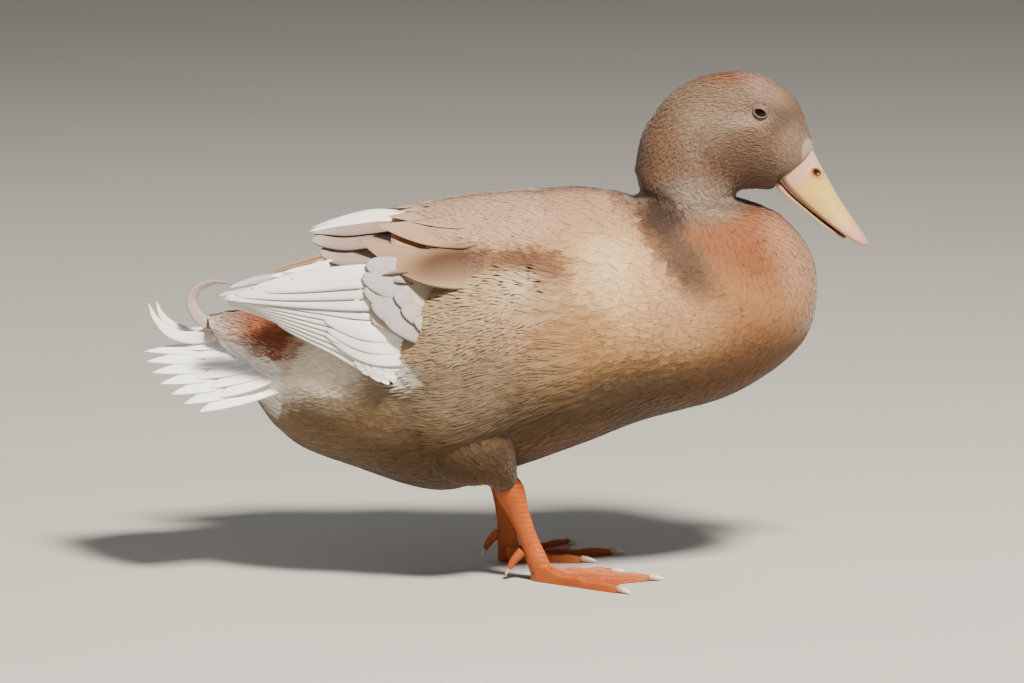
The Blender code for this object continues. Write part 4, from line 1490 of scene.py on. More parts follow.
    def coverts(self) -> None:
        """Greater coverts at the rear, grey with a lilac cast, and downy buff ones before them."""
        sheet = self.sheet(
            ((-14, 60, 186), (-32, 64, 187), (-52, 67, 187), (-66, 69, 187), (-80, 69, 188)),
            ((-16, 68, 146), (-30, 71, 145), (-46, 76, 147), (-62, 80, 151), (-78, 77, 158)),
            3.0,
            14.0,
            9.0,
            3.0,
            6.0 * self.far,
            0.62,
        )
        name = f"wing_{self.word}_coverts"
        sheet.shell(f"{name}_slab", "#B9A593", Slot.CREAM, (name,))
        vane = Vane(8.2, 0.8, 0.6, 4.0, 0.6, 0.7, 0.4, 0.15, 0.0, rows=18, columns=11)
        lean = -0.06 * self.side
        line, out = self.between(
            sheet, self.greater_roots, self.greater_tips, vane.rows, (-3.4, -3.4), (0.8, 0.0), 0.03
        )
        tints = Tints("#A59C9C", "#625A5B", "#ABA3A2", "#968A87", 0.03)
        Rank(f"{name}_greater", vane, tints, edge=-self.side).make(line, out, 1.0, lean, 34)
        roots = np.array(self.greater_roots[2:]) + (11, -1)
        tips = np.array(self.greater_tips[2:]) + (17, -3)
        line, out = self.between(sheet, roots, tips, vane.rows, (-6.0, -5.0), (0.9, 0.6), 0.03)
        tints = Tints("#A59893", "#6C6160", "#AEA29D", "#9C8B80", 0.04)
        rank = Rank(f"{name}_middle", vane, tints, Slot.CREAM, edge=-self.side)
        rank.make(line, out, 0.9, lean, 35)

    def tertials(self) -> None:
        """Long broad inner feathers: mauve blades with a white one on top."""
        sheet = self.sheet(
            ((-36, 3, 214), (-58, 2, 213), (-80, 2, 210), (-98, 4, 206), (-113, 12, 202)),
            ((-34, 70, 190), (-58, 72, 186), (-82, 66, 182), (-100, 50, 187), (-111, 36, 193)),
            8.0,
            8.0,
            6.0,
            1.8,
            5.0 * self.far,
            0.5,
            rear=0.7,
        )
        name = f"wing_{self.word}_tertials"
        sheet.shell(f"{name}_slab", "#A59084", Slot.WHITE, (name,))
        start = np.array([(0.2, 0.74), (0.2, 0.6), (0.2, 0.45), (0.2, 0.3)])
        end = np.array([(0.72, 0.9), (0.86, 0.82), (0.98, 0.6), (0.97, 0.34)])
        vane = Vane(17.0, 0.8, 0.4, 2.6, 0.8, 1.2, 0.5, 0.2, 0.03, rows=24, columns=13)
        lifts = np.array([(-0.8, -0.2), (-0.5, 0.0), (-0.2, 0.2), (0.0, 0.3)])
        line, out = sheet.shafts(start, end, vane.rows, lifts)
        tints = Tints("#947F75", "#806C61", "#A69990", "#856B5D", 0.03)
        lean = -0.06 * self.side
        Rank(f"{name}_under", vane, tints).make(line, out, 1.0, lean, 36)
        start, end = np.array([(0.0, 0.2), (0.0, 0.04)]), np.array([(1.0, 0.24), (0.97, 0.02)])
        vane = replace(vane, half_width=11.0, torn=0.3, tip_power=3.0)
        line, out = sheet.shafts(start, end, vane.rows, np.array([(0.6, 0.4), (0.8, 0.5)]))
        tints = Tints("#F2EDE7", "#F4F0EC", "#F6F3EF", "#E6D9CD", 0.02)
        Rank(f"{name}_upper", vane, tints).make(line, out, 1.0, 0.0, 39)

    def scapulars(self) -> None:
        """Shoulder feathers: small and soft in front, long blades over the wing behind."""
        sheet = self.sheet(
            ((86, 10, 216), (40, 3, 223.5), (-10, 2, 221), (-45, 4, 216), (-76, 26, 209)),
            ((90, 60, 176), (45, 68, 171), (0, 67, 176), (-42, 70, 181), (-80, 56, 198)),
            20.0,
            16.0,
            14.0,
            2.6,
            3.5 * self.far,
            0.42,
            rear=0.9,
        )
        name = f"wing_{self.word}_scapulars"
        sheet.shell(f"{name}_slab", "#B0805B", Slot.BUFF, (name,))
        # Tips as u and v, from the lowest layer up; each root lies further forward.
        tips = ((0.58, 0.98), (0.72, 0.98), (0.9, 0.12), (0.92, 0.32), (0.96, 0.56), (1.02, 0.94))
        tips = np.array(tips)
        reach = np.array([0.3, 0.3, 0.4, 0.4, 0.44, 0.56])
        roots = np.stack([tips[:, 0] - reach, mix(tips[:, 1], 0.55, 0.3)], axis=1)
        vane = Vane(16.0, 0.6, 0.6, 2.0, 0.9, 0.4, 0.3, 0.2, 0.03, rows=28, columns=15)
        order = np.linspace(0, 1, len(tips))[:, None]
        lifts = np.concatenate([mix(-4.0, -0.6, order**2), mix(0.4, 2.0, order)], axis=1)
        line, out = sheet.shafts(roots, tips, vane.rows, lifts, 0.03)
        tints = Tints("#BA9978", "#BEA07F", "#C3AF95", "#B7926F", 0.03)
        rank = Rank(f"{name}_vanes", vane, tints, Slot.BUFF, edge=-self.side)
        rank.make(line, out, 1.0, -0.04 * self.side, 37, self.plumage)
        soft = Region(f"scapular_{self.word}", 0.02, 0.66, 3.8, 25.0, 2.8, 7, 11, 0.7, 0.9, 3, 18.0)
        soft = replace(soft, frost=0.04, variety=0.02, keel=0.12, seed=53)
        Coat(sheet, self.plumage, 0.0, 0.9).grow(soft)


# --- Tail ---------------------------------------------------------------------------------------


@dataclass(frozen=True)
class Tail:
    """The arched fan of white rectrices, its coverts and the drake's curled feathers."""

    root: tuple[float, float] = (-62.0, 137.0)  # x, z
    spread: float = 26.0  # degrees each way
    length: float = 148.0
    shortening: float = 0.15
    slope: float = 0.045
    arch: float = 24.0
    arch_at: float = 48.0

    def place(self, reach: Array, bearing: Array, lift: Array) -> Array:
        """A place in the fan, from reach, bearing in radians and height above it."""
        x = self.root[0] - reach * np.cos(bearing)
        y = reach * np.sin(bearing)
        drop = self.arch * np.abs(y / self.arch_at) ** 1.25
        z = self.root[1] - self.slope * reach - drop + lift
        return np.stack(np.broadcast_arrays(x, y, z), axis=-1)

    def shafts(
        self, share: Array, start: Array, end: Array, rows: int, lifts: Array
    ) -> tuple[Array, Array]:
        """Shafts fanned at shares of the spread, from start to end reach, with their up sides."""
        t = np.linspace(0, 1, rows)[None, :]
        bearing = np.radians(self.spread) * share[:, None] + 0 * t
        reach = mix(start[:, None], end[:, None], t)
        lift = mix(lifts[:, :1], lifts[:, 1:], t)
        line = self.place(reach, bearing, lift)
        side = self.place(reach, bearing + 0.02, lift) - line
        ahead = np.gradient(line, axis=1)
        return line, unit(np.cross(side, ahead))

    def build(self) -> None:
        """Builds the rectrices, tail coverts and curls."""
        share = np.linspace(-1, 1, 14)
        order = np.argsort(-np.abs(share))
        share = share[order]
        length = self.length * (1 - self.shortening * np.abs(share) ** 1.8) - 0.6
        height = 1.4 * (1 - np.abs(share))
        vane = Vane(12.0, 0.55, 0.5, 3.2, 1.0, 1.2, 0.5, 0.35, 0.05, rows=24, columns=11)
        lifts = np.stack([height - 0.6, height], axis=1)
        line, out = self.shafts(share, 0 * share + 66, length, vane.rows, lifts)
        tints = Tints("#FDFBF8", "#FEFDFB", "#FDFBF8", "#F4ECE3", 0.02)
        fan = Rank("tail_rectrices", vane, tints).make(line, out, 1.0, -0.1 * share, 41)
        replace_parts(fan, "tail_fan")
        vane = Vane(12.0, 0.6, 0.5, 2.4, 1.0, 0.8, 0.4, 0.2, 0.04, rows=18, columns=11)
        rows = (("upper", 78.0, 124.0, 6.5, 1.5, 42), ("under", 40.0, 104.0, -3.0, -2.6, 43))
        for name, start, end, lift, tip, seed in rows:
            share = np.linspace(-0.96, 0.96, 12)[np.argsort(-np.abs(np.linspace(-1, 1, 12)))]
            reach = end * (1 - 0.14 * np.abs(share)) + 6 * drawn(seed, len(share))
            lifts = np.stack([0 * share + lift, 0 * share + tip], axis=1)
            line, out = self.shafts(share, 0 * share + start, reach, vane.rows, lifts)
            Rank(f"tail_coverts_{name}", vane, tints).make(line, out, 1.0, -0.1 * share, seed)
        self.curls()

    def curls(self) -> None:
        """Three curled feathers over the tail, one rolled forward and two swept up."""
        loop = ((-150, 143), (-172, 146), (-181, 157), (-178, 166), (-168, 170.5), (-157, 169))
        right = ((-150, 139), (-168, 139.5), (-182, 138), (-194, 141), (-202, 149), (-206, 158))
        left = ((-150, 140), (-168, 140.5), (-181, 139), (-192, 143), (-199, 150), (-202, 158))
        grey = Tints("#A5928A", "#B9AAA1", "#B5A49A", "#A08E87", 0.02)
        white = Tints("#EFEAE4", "#F7F4F0", "#F4EFE9", "#C6B6AA", 0.02)
        for name, path, off, width, tints in (
            ("curl_feather_loop", loop, -4.0, 3.8, grey),
            ("curl_feather_right", right, -4.5, 4.6, white),
            ("curl_feather_left", left, 4.0, 4.6, white),
        ):
            vane = Vane(width, 1.0, 0.4, 1.6, 0.8, 0.6, 0.6, 0.1, 0.0, rows=32)
            curve = curve_through(path, np.linspace(0, len(path) - 1, vane.rows))
            run = np.gradient(curve, axis=0)
            run = run / np.linalg.norm(run, axis=1, keepdims=True)
            line = np.stack([curve[:, 0], 0 * curve[:, 0] + off, curve[:, 1]], axis=-1)[None]
            out = np.stack([0.4 * run[:, 1], 0 * run[:, 0] - 0.9, -0.4 * run[:, 0]], axis=-1)[None]
            made = Rank(f"{name}_vane", vane, tints).make(line, out, 1.0, 0.0, 45)
            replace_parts(made, name)


# --- Bill ---------------------------------------------------------------------------------------


@dataclass(frozen=True)
class Bill:
    """Both halves of the bill, lofted in their own axes and turned to droop.

    A ring's top is a dome (top - edge) * |cos a|^dome and its underside
    (edge - bottom) * |cos a|^keel, over the half width w * |sin a|^0.8. The nostril is a pit
    depth * (1 - r^2) inside its ellipse, with a raised rim round it.
    """

    root: tuple[float, float] = (167.6, 237.2)
    droop: float = math.radians(48.5)
    length: float = 61.8
    # Along, ridge, cutting edge and half width.
    upper: tuple[tuple[float, float, float, float], ...] = (
        (-1.6, 14.3, -11.0, 11.9), (2.0, 13.5, -11.1, 11.6), (8.0, 12.0, -11.6, 11.5),
        (18.0, 9.8, -10.6, 11.0), (32.0, 7.0, -8.4, 11.1), (45.0, 5.4, -5.6, 12.0),
        (54.0, 4.3, -2.9, 11.0), (59.5, 3.2, -1.0, 7.6), (61.8, 1.9, -0.1, 3.4),
    )
    lower: tuple[tuple[float, float, float, float], ...] = (
        (-2.0, -11.6, -15.8, 9.8), (8.0, -12.1, -15.2, 9.6), (18.0, -11.1, -13.2, 9.4),
        (32.0, -8.9, -10.9, 9.8), (44.0, -6.2, -7.9, 9.6), (50.0, -4.7, -6.0, 7.0),
    )
    nostril: tuple[float, float] = (10.2, 7.3)  # along, up
    nostril_radii: tuple[float, float] = (3.1, 2.1)
    nostril_turn: float = math.radians(12)

    def place(self, local: Array) -> Array:
        """Turns places from the bill's axes, along, aside and up, to the bird's."""
        along, aside, up = np.moveaxis(local, -1, 0)
        drop, reach = math.sin(self.droop), math.cos(self.droop)
        x = self.root[0] + along * reach + up * drop
        z = self.root[1] - along * drop + up * reach
        return np.stack([x, aside, z], axis=-1)

    def rings(self, stations: tuple, dome: float, keel: float, rows: int, count: int) -> Array:
        """Rings of one half, in the bill's own axes."""
        at = np.linspace(0, len(stations) - 1, rows)
        along, top, bottom, wide = curve_through(stations, at).T[:, :, None]
        angle = np.linspace(0, 2 * math.pi, count, endpoint=False)[None, :]
        up, aside = np.cos(angle), np.sin(angle)
        edge = bottom + (top - bottom) * 0.22
        rise = np.where(
            up > 0, (top - edge) * rounded(up, dome), (edge - bottom) * rounded(up, keel)
        )
        lean = 0.1 * (1 - along / self.length) ** 4 * (edge + rise - top)
        parts = (along + lean, wide * rounded(aside, 0.8), edge + rise)
        return np.stack(np.broadcast_arrays(*parts), axis=-1)

    def nostril_radius(self, local: Array) -> Array:
        """Distance from the nostril's middle, 1 on its edge."""
        along, up = local[..., 0] - self.nostril[0], local[..., 2] - self.nostril[1]
        c, s = math.cos(self.nostril_turn), math.sin(self.nostril_turn)
        long_way = (along * c + up * s) / self.nostril_radii[0]
        short_way = (up * c - along * s) / self.nostril_radii[1]
        return np.hypot(long_way, short_way)

    def build(self) -> None:
        """Makes both halves."""
        finish = HornFinish("bill_sheath", 0.42, 1.6, 0.05, 0.15, 0.05).material()
        upper = self.rings(self.upper, 1.15, 0.6, 110, 160)
        radius = self.nostril_radius(upper)
        open_side = (np.abs(upper[..., 1]) > 3) & (upper[..., 2] > -2)
        pit = np.where(open_side & (radius < 1), (1 - radius**2) ** 0.7 * 2.6, 0.0)
        rim = np.where(open_side, 0.35 * np.exp(-(((radius - 1.25) / 0.25) ** 2)), 0.0)
        nail = 0.5 * step(53.0, 55.0, upper[..., 0]) * (np.abs(upper[..., 1]) < 4.5)
        away = np.sign(upper[..., 1])
        upper[..., 1] += away * (rim - pit)
        upper[..., 2] += nail * 0.3
        colours = self.shade(upper, radius, open_side)
        self.half("bill_upper", upper, finish, colours)
        lower = self.rings(self.lower, 0.6, 0.9, 70, 96)
        self.half("bill_lower", lower, finish, self.shade(lower, radius[:1, :1] * 0 + 9, False))

    def shade(self, local: Array, radius: Array, open_side: Array) -> Array:
        """Bill colour: straw above, flesh at the feathers, ochre at the edges, painted shade in the
        nostril.
        """
        along, up = local[..., :1], local[..., 2:]
        level = np.interp(local[..., 0], [s[0] for s in self.upper], [s[2] for s in self.upper])
        over_edge = up - level[..., None]
        shade = np.broadcast_to(linear("#BDA052"), local.shape)
        shade = mix(shade, linear("#B9937E"), step(13, 4, along) * 0.9)
        ridge = step(6.5, 2.0, np.abs(local[..., 1:2])) * step(0.0, 5.0, up)
        shade = mix(shade, linear("#BA9C88"), ridge * 0.85)
        shade = mix(shade, linear("#B99075"), step(5.0, 1.0, over_edge) * 0.9)
        shade = mix(shade, linear("#946845"), step(1.2, 0.0, over_edge) * 0.55)
        shade = mix(shade, linear("#B7907C"), step(34, 54, along) * 0.9)
        rim = (np.exp(-(((radius - 1.15) / 0.3) ** 2)) * open_side)[..., None]
        shade = mix(shade, linear("#A65825"), rim * 0.8)
        # Painted shade inside the nostril's pit.
        inside = (step(1.0, 0.7, radius) * open_side)[..., None]
        return mix(shade, linear("#330F08"), inside)

    def half(self, name: str, local: Array, finish: bpy.types.Material, colours: Array) -> None:
        """One half, with its ends closed."""
        points, faces = self.place(with_ends(local)), flipped(closed_faces(*local.shape[:2]))
        piece = make_piece(f"{name}_sheath", points, faces, finish, with_ends(colours))
        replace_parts(piece, name)


# --- Eyes ---------------------------------------------------------------------------------------


@dataclass(frozen=True)
class Eye:
    """One eyeball with its lids.

    The lids are a closed ring from the skin to an almond opening. Their height over the ball
    falls from the skin's to a hair's breadth with a roll at the rim.
    """

    side: int
    form: BodyForm
    centre: tuple[float, float, float] = (EYE_AT[0], 17.3, EYE_AT[1])  # the second is off the middle
    radius: float = 5.2
    pupil: float = 2.2
    opening: tuple[float, float] = (3.75, 2.2)  # half length and half height
    lid_reach: tuple[float, float] = (6.4, 5.2)
    slant: float = -23.0  # degrees, the front corner lower

    def build(self) -> None:
        """Makes the ball and the lids."""
        word = side_word(self.side)
        rows, ring = 40, 64
        polar, turn = np.meshgrid(
            np.linspace(0.03, math.pi - 0.03, rows), np.arange(ring) * 2 * math.pi / ring, indexing="ij"
        )
        flat = np.sin(polar)
        ball = np.stack([flat * np.cos(turn), np.cos(polar), flat * np.sin(turn)], axis=-1)
        away = np.hypot(ball[..., 0], ball[..., 2]) * self.radius
        front = ball[..., 1:2] > 0
        shade = np.broadcast_to(linear("#130B08"), ball.shape)
        shade = mix(shade, linear("#26160D"), (step(2.0, 3.0, away) * 0.8)[..., None] * front)
        shade = mix(shade, linear("#050403"), step(self.pupil + 0.25, self.pupil, away)[..., None])
        points = (np.array(self.centre) + ball * self.radius) * (1, self.side, 1)
        faces = flipped(closed_faces(rows, ring), self.side < 0)
        finish = EyeFinish().material()
        name = f"eyeball_{word}"
        made = make_piece(name, with_ends(points), faces, finish, with_ends(shade))
        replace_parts(made, f"eye_{word}")
        self.lids(word)

    def lids(self, word: str) -> None:
        """The ring of both lids."""
        turn = np.linspace(0, 2 * math.pi, 72, endpoint=False)
        slant = math.radians(self.slant)
        c, s = math.cos(slant), math.sin(slant)
        almond = np.abs(np.sin(turn)) ** 1.25 * np.sign(np.sin(turn))
        inner = np.stack([self.opening[0] * np.cos(turn), self.opening[1] * almond], axis=-1)
        outer = np.stack(
            [self.lid_reach[0] * np.cos(turn), self.lid_reach[1] * np.sin(turn)], axis=-1
        )
        # Share of the way in and height over the lid's own surface, round the section.
        section = np.array(
            [(0, 0), (0.2, 0.15), (0.4, 0.3), (0.58, 0.2), (0.72, 0.26), (0.84, 0.34), (0.94, 0.32)]
            + [(1.0, 0.12), (1.0, -0.1), (0.9, -0.45), (0.6, -0.8), (0.25, -1.0), (0.0, -0.9)]
        )
        share, height = section[:, 0][None, :, None], section[:, 1][None, :, None]
        flat = mix(outer[:, None], inner[:, None], share)
        flat = np.stack([flat[..., 0] * c - flat[..., 1] * s, flat[..., 0] * s + flat[..., 1] * c], -1)
        reach = np.hypot(flat[..., 0], flat[..., 1])
        over_ball = self.centre[1] + np.sqrt(np.maximum((self.radius + 0.1) ** 2 - reach**2, 0.5))
        skin = self.skin_off(flat[:, 0])[:, None] - 0.35
        off = mix(skin, over_ball, step(0.0, 0.75, section[:, 0])[None, :]) + height[..., 0]
        ball = self.centre[1] + np.sqrt(np.maximum(self.radius**2 - reach**2, 0.0))
        outside = (reach < self.radius) & (height[..., 0] > -0.2)
        off = np.where(outside, np.maximum(off, ball + 0.14), off)
        points = np.stack([flat[..., 0] + self.centre[0], off, flat[..., 1] + self.centre[2]], -1)
        points = points * (1, self.side, 1)
        rim = step(0.86, 0.98, section[:, 0])[None, :, None]
        shade = mix(linear("#624E3E"), linear("#97836D"), rim * 0.7)
        shade = np.broadcast_to(shade, points.shape)
        faces = grid_faces(len(turn) + 1, len(section), closed=True)
        faces = flipped([faces % (len(turn) * len(section))], self.side < 0)
        finish = HornFinish("lid_skin", 0.7, 0.7, 0.06, 0.0, 0.1).material()
        make_piece(f"eyelids_{word}", points, faces, finish, shade)

    def skin_off(self, flat: Array) -> Array:
        """Distance of the skin from the middle plane at places round the eye."""
        u, v = np.full(len(flat), 16.0), np.full(len(flat), 0.25)
        goal = flat + np.array([self.centre[0], self.centre[2]])
        for _ in range(12):
            here, along, around, _ = self.form.frame(u, v)
            miss = goal - here[:, [0, 2]]
            det = along[:, 0] * around[:, 2] - along[:, 2] * around[:, 0]
            u = u + (miss[:, 0] * around[:, 2] - miss[:, 1] * around[:, 0]) / det
            v = v + (along[:, 0] * miss[:, 1] - along[:, 2] * miss[:, 0]) / det
        return np.abs(self.form.surface(u, v)[:, 1])


# --- Legs ---------------------------------------------------------------------------------------


@dataclass(frozen=True)
class Leg:
    """One bare leg: scaled shank, webbed foot, hind toe and claws, stood flat on the floor."""

    side: int
    ankle_x: float
    ball_x: float
    toe_out: float
    spacing: float = 29.0
    ankle_height: float = 53.0
    lengths: tuple[float, ...] = (44.0, 63.0, 59.0)  # inner, middle and outer toe
    splays: tuple[float, ...] = (-25.0, 0.0, 38.0)
    half_width: float = 4.2
    taper: float = 0.62
    tip_rounding: float = 2.4
    toe_height: float = 6.4
    toe_lines: tuple[float, ...] = (-1.0, -0.6, 0.0, 0.6, 1.0)
    web_lines: tuple[float, ...] = (0.33, 0.67)
    web_scallop: float = 0.2
    web_thickness: float = 1.3
    ball_radius: float = 6.5
    ball_rise: float = 4.5
    claw_length: float = 8.0

    @property
    def word(self) -> str:
        """The side's name."""
        return side_word(self.side)

    def build(self) -> None:
        """Makes every part of the leg."""
        finish = HornFinish("leg_scales", 0.5, 1.15, 0.16, 0.12, 0.12).material()
        horn = HornFinish("claw_horn_gloss", 0.35, 3.0, 0.02, 0.15, 0.06).material()
        self.shank(finish)
        self.foot(finish)
        self.hind_toe(finish, horn)
        for name, length, splay in zip(("inner", "middle", "outer"), self.lengths, self.splays):
            along = np.append(self.heading(splay)[0], 0.0)
            root = along * (length - 0.8) + np.array([self.ball_x, self.side * self.spacing, 2.3])
            self.claw(name, root, along, self.claw_length + 0.9, 1.9, 1.2, horn)

    def heading(self, splay: float) -> tuple[Array, Array]:
        """Directions in the ground plane along a toe, and across it away from the other foot."""
        bearing = math.radians(splay + self.toe_out)
        along = np.array([math.cos(bearing), self.side * math.sin(bearing)])
        return along, np.array([-math.sin(bearing), self.side * math.cos(bearing)])

    def tube(
        self,
        name: str,
        rings: Array,
        shade: Array,
        finish: bpy.types.Material,
        node: str,
    ) -> None:
        """A closed tube in the place of a node, its rings running downwards or forwards."""
        faces = closed_faces(*rings.shape[:2])
        piece = make_piece(name, with_ends(rings), faces, finish, with_ends(shade))
        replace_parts(piece, node)

    def shank(self, finish: bpy.types.Material) -> None:
        """The bare leg: scutes run down its front, 3 mm to each, and fade towards the back."""
        s, reach, top = self.side, self.ball_x - self.ankle_x, self.ankle_height
        centres = [
            (self.ankle_x + reach * t, s * (32.5 - 3.5 * t), top + 5 - (top + 0.5) * t)
            for t in (0.0, 0.12, 0.35, 0.6, 0.85, 1.0)
        ]
        radii = ((7.4, 6.0), (8.4, 6.6), (6.2, 4.4), (5.2, 3.8), (6.0, 4.8), (6.6, 5.6))
        rows, ring = 120, 64
        at, v = np.meshgrid(np.linspace(0, 5, rows), np.arange(ring) / ring, indexing="ij")
        rings = ovals(centres, radii, at, v)
        middle = rings.mean(axis=1, keepdims=True)
        front = np.clip(-np.cos(2 * math.pi * v), 0, 1) ** 0.5
        down = middle[0, 0, 2] - rings[..., 2]
        saw = (down / 3.0 + 0.25 * np.abs(np.sin(2 * math.pi * v))) % 1
        relief = (0.24 * saw - 0.35 * (saw < 0.1)) * front
        rings = rings + unit(rings - middle) * (relief - 0.1)[..., None]
        shade = np.broadcast_to(linear("#B05512"), rings.shape)
        shade = mix(shade, linear("#84390C"), ((saw < 0.12) * front * 0.5)[..., None])
        shade = mix(shade, linear("#94420D"), (1 - front)[..., None] * 0.4)
        self.tube(f"leg_{self.word}", rings, shade, finish, f"shank_{self.word}")

    def ends(self) -> tuple[Array, Array]:
        """Ends of the foot's lengthwise lines, inner to outer, and their heights from 0 to 1."""
        ends, heights = [], []
        for length, splay in zip(self.lengths, self.splays):
            along, across = self.heading(splay)
            if ends:
                before = ends[-1]
                after = along * (length - self.tip_rounding) - across * self.half_width * self.taper
                for share in self.web_lines:
                    straight = before * (1 - share) + after * share
                    ends.append(straight * (1 - self.web_scallop * math.sin(math.pi * share)))
                    heights.append(0.0)
            for offset in self.toe_lines:
                reach = length - self.tip_rounding * offset**2
                ends.append(along * reach + across * self.half_width * self.taper * offset)
                heights.append(math.sqrt(1 - offset**2))
        return np.array(ends), np.array(heights)

    def foot(self, finish: bpy.types.Material) -> None:
        """Toes and webs as one plate, flat beneath, with a joint every third of a toe."""
        ends, ridge = self.ends()
        fine = np.linspace(0, len(ends) - 1, (len(ends) - 1) * 8 + 1)
        ends = np.stack([np.interp(fine, range(len(ends)), ends[:, k]) for k in (0, 1)], axis=1)
        ridge = np.clip(curve_through(ridge[:, None], fine)[:, 0], 0, 1)
        share = np.linspace(-1, 1, len(ends))
        along, across = self.heading(sum(self.splays) / 3)
        behind = -self.ball_radius * (1 - 0.6 * share**2)
        starts = np.outer(behind, along) + np.outer(self.ball_radius * share, across)
        rows = 70
        row = np.linspace(0, 1, rows)[:, None]
        ground = starts + (ends - starts) * row[..., None]
        ground = ground + (self.ball_x, self.side * self.spacing)
        joints = np.cos(row * 3 * 2 * math.pi) * 0.09 * (row > 0.12)
        toe = self.toe_height * (1 - 0.4 * row) * (1 - joints)
        height = self.web_thickness + (toe - self.web_thickness) * ridge
        hump = np.exp(-(((row - 0.06) / 0.16) ** 2)) * (1 - 0.5 * share**2)
        height = height + self.ball_rise * hump
        fold = 0.12 * np.sin(row * 60 + 3 * np.sin(share * 9)) * (1 - ridge) * step(0.2, 0.4, row)
        saw = (row * 22) % 1
        scute = (0.16 * saw - 0.2 * (saw < 0.12)) * step(0.75, 0.95, ridge) * step(0.12, 0.2, row)
        height = height + fold + scute
        edge = np.clip(1 - (np.abs(share) * 1.0) ** 40, 0.3, 1)
        top = np.concatenate([ground, (height * edge)[..., None]], axis=2)
        under = np.concatenate([ground, 0 * height[..., None]], axis=2)
        rings = np.concatenate([top, under[:, ::-1]], axis=1)
        ring, columns = rings.shape[1], top.shape[1]
        k = np.arange(columns - 1)
        cap = np.stack([k, k + 1, ring - 2 - k, ring - 1 - k], axis=1)
        cap = [cap, (cap + (rows - 1) * ring)[:, ::-1]]
        faces = flipped([grid_faces(rows, ring, closed=True)[:, ::-1], *cap], self.side < 0)
        shade = np.broadcast_to(linear("#AC5113"), top.shape)
        shade = mix(shade, linear("#95440F"), ((1 - ridge) * step(0.15, 0.4, row))[..., None] * 0.7)
        shade = mix(shade, linear("#7C350D"), ((saw < 0.14) * step(0.75, 0.95, ridge))[..., None] * 0.4)
        sole = np.broadcast_to(linear("#AD5B25"), under.shape)
        shades = np.concatenate([shade, sole], axis=1)
        name = f"foot_{self.word}"
        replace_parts(make_piece(f"{name}_webbed", rings, faces, finish, shades), name)

    def hind_toe(self, finish: bpy.types.Material, horn: bpy.types.Material) -> None:
        """The small raised toe behind the leg, with its claw."""
        lean = (self.ball_x - self.ankle_x) / self.ankle_height
        root = np.array([self.ball_x - lean * 17 - 4.5, self.side * 29.5, 17.0])
        bend, tip = root + (-5.0, 0, -5.5), root + (-7.6, 0, -10.0)
        at, v = np.meshgrid(np.linspace(0, 2, 40), np.arange(32) / 32, indexing="ij")
        radii = np.array(((3.0, 2.6), (2.4, 2.1), (1.7, 1.5)))
        rings = ovals(np.array([root, bend, tip]), radii, at, v)
        saw = (at * 3.5) % 1
        middle = rings.mean(axis=1, keepdims=True)
        rings = rings + unit(rings - middle) * (0.12 * saw - 0.15)[..., None]
        shade = mix(linear("#AC5113"), linear("#84390C"), ((saw < 0.15) * 0.5)[..., None])
        name = f"hind_toe_{self.word}"
        self.tube(f"{name}_scaled", rings, shade, finish, name)
        down = (tip - bend) / np.linalg.norm(tip - bend)
        self.claw("hind", tip - down * 0.5, down, 5.2, 1.2, 0.0, horn)

    def claw(
        self,
        name: str,
        root: Array,
        along: Array,
        length: float,
        radius: float,
        dip: float,
        finish: bpy.types.Material,
    ) -> None:
        """A blunt curved claw: radius * (1 - 0.8 t^1.5), dipping by dip * t^2."""
        t = np.linspace(0, 1, 8)[:, None]
        centres = root + along * length * t + np.array([0, 0, -dip]) * t**2
        radii = np.repeat(radius * (1 - 0.8 * t**1.5), 2, axis=1)
        at, v = np.meshgrid(np.linspace(0, 7, 24), np.arange(24) / 24, indexing="ij")
        rings = ovals(centres, radii, at, v)
        shade = mix(linear("#C3987C"), linear("#F0DCCB"), step(1.0, 5.0, at)[..., None])
        node = f"claw_{self.word}_{name}"
        self.tube(f"{node}_horn", rings, shade, finish, node)


# --- Setting ------------------------------------------------------------------------------------


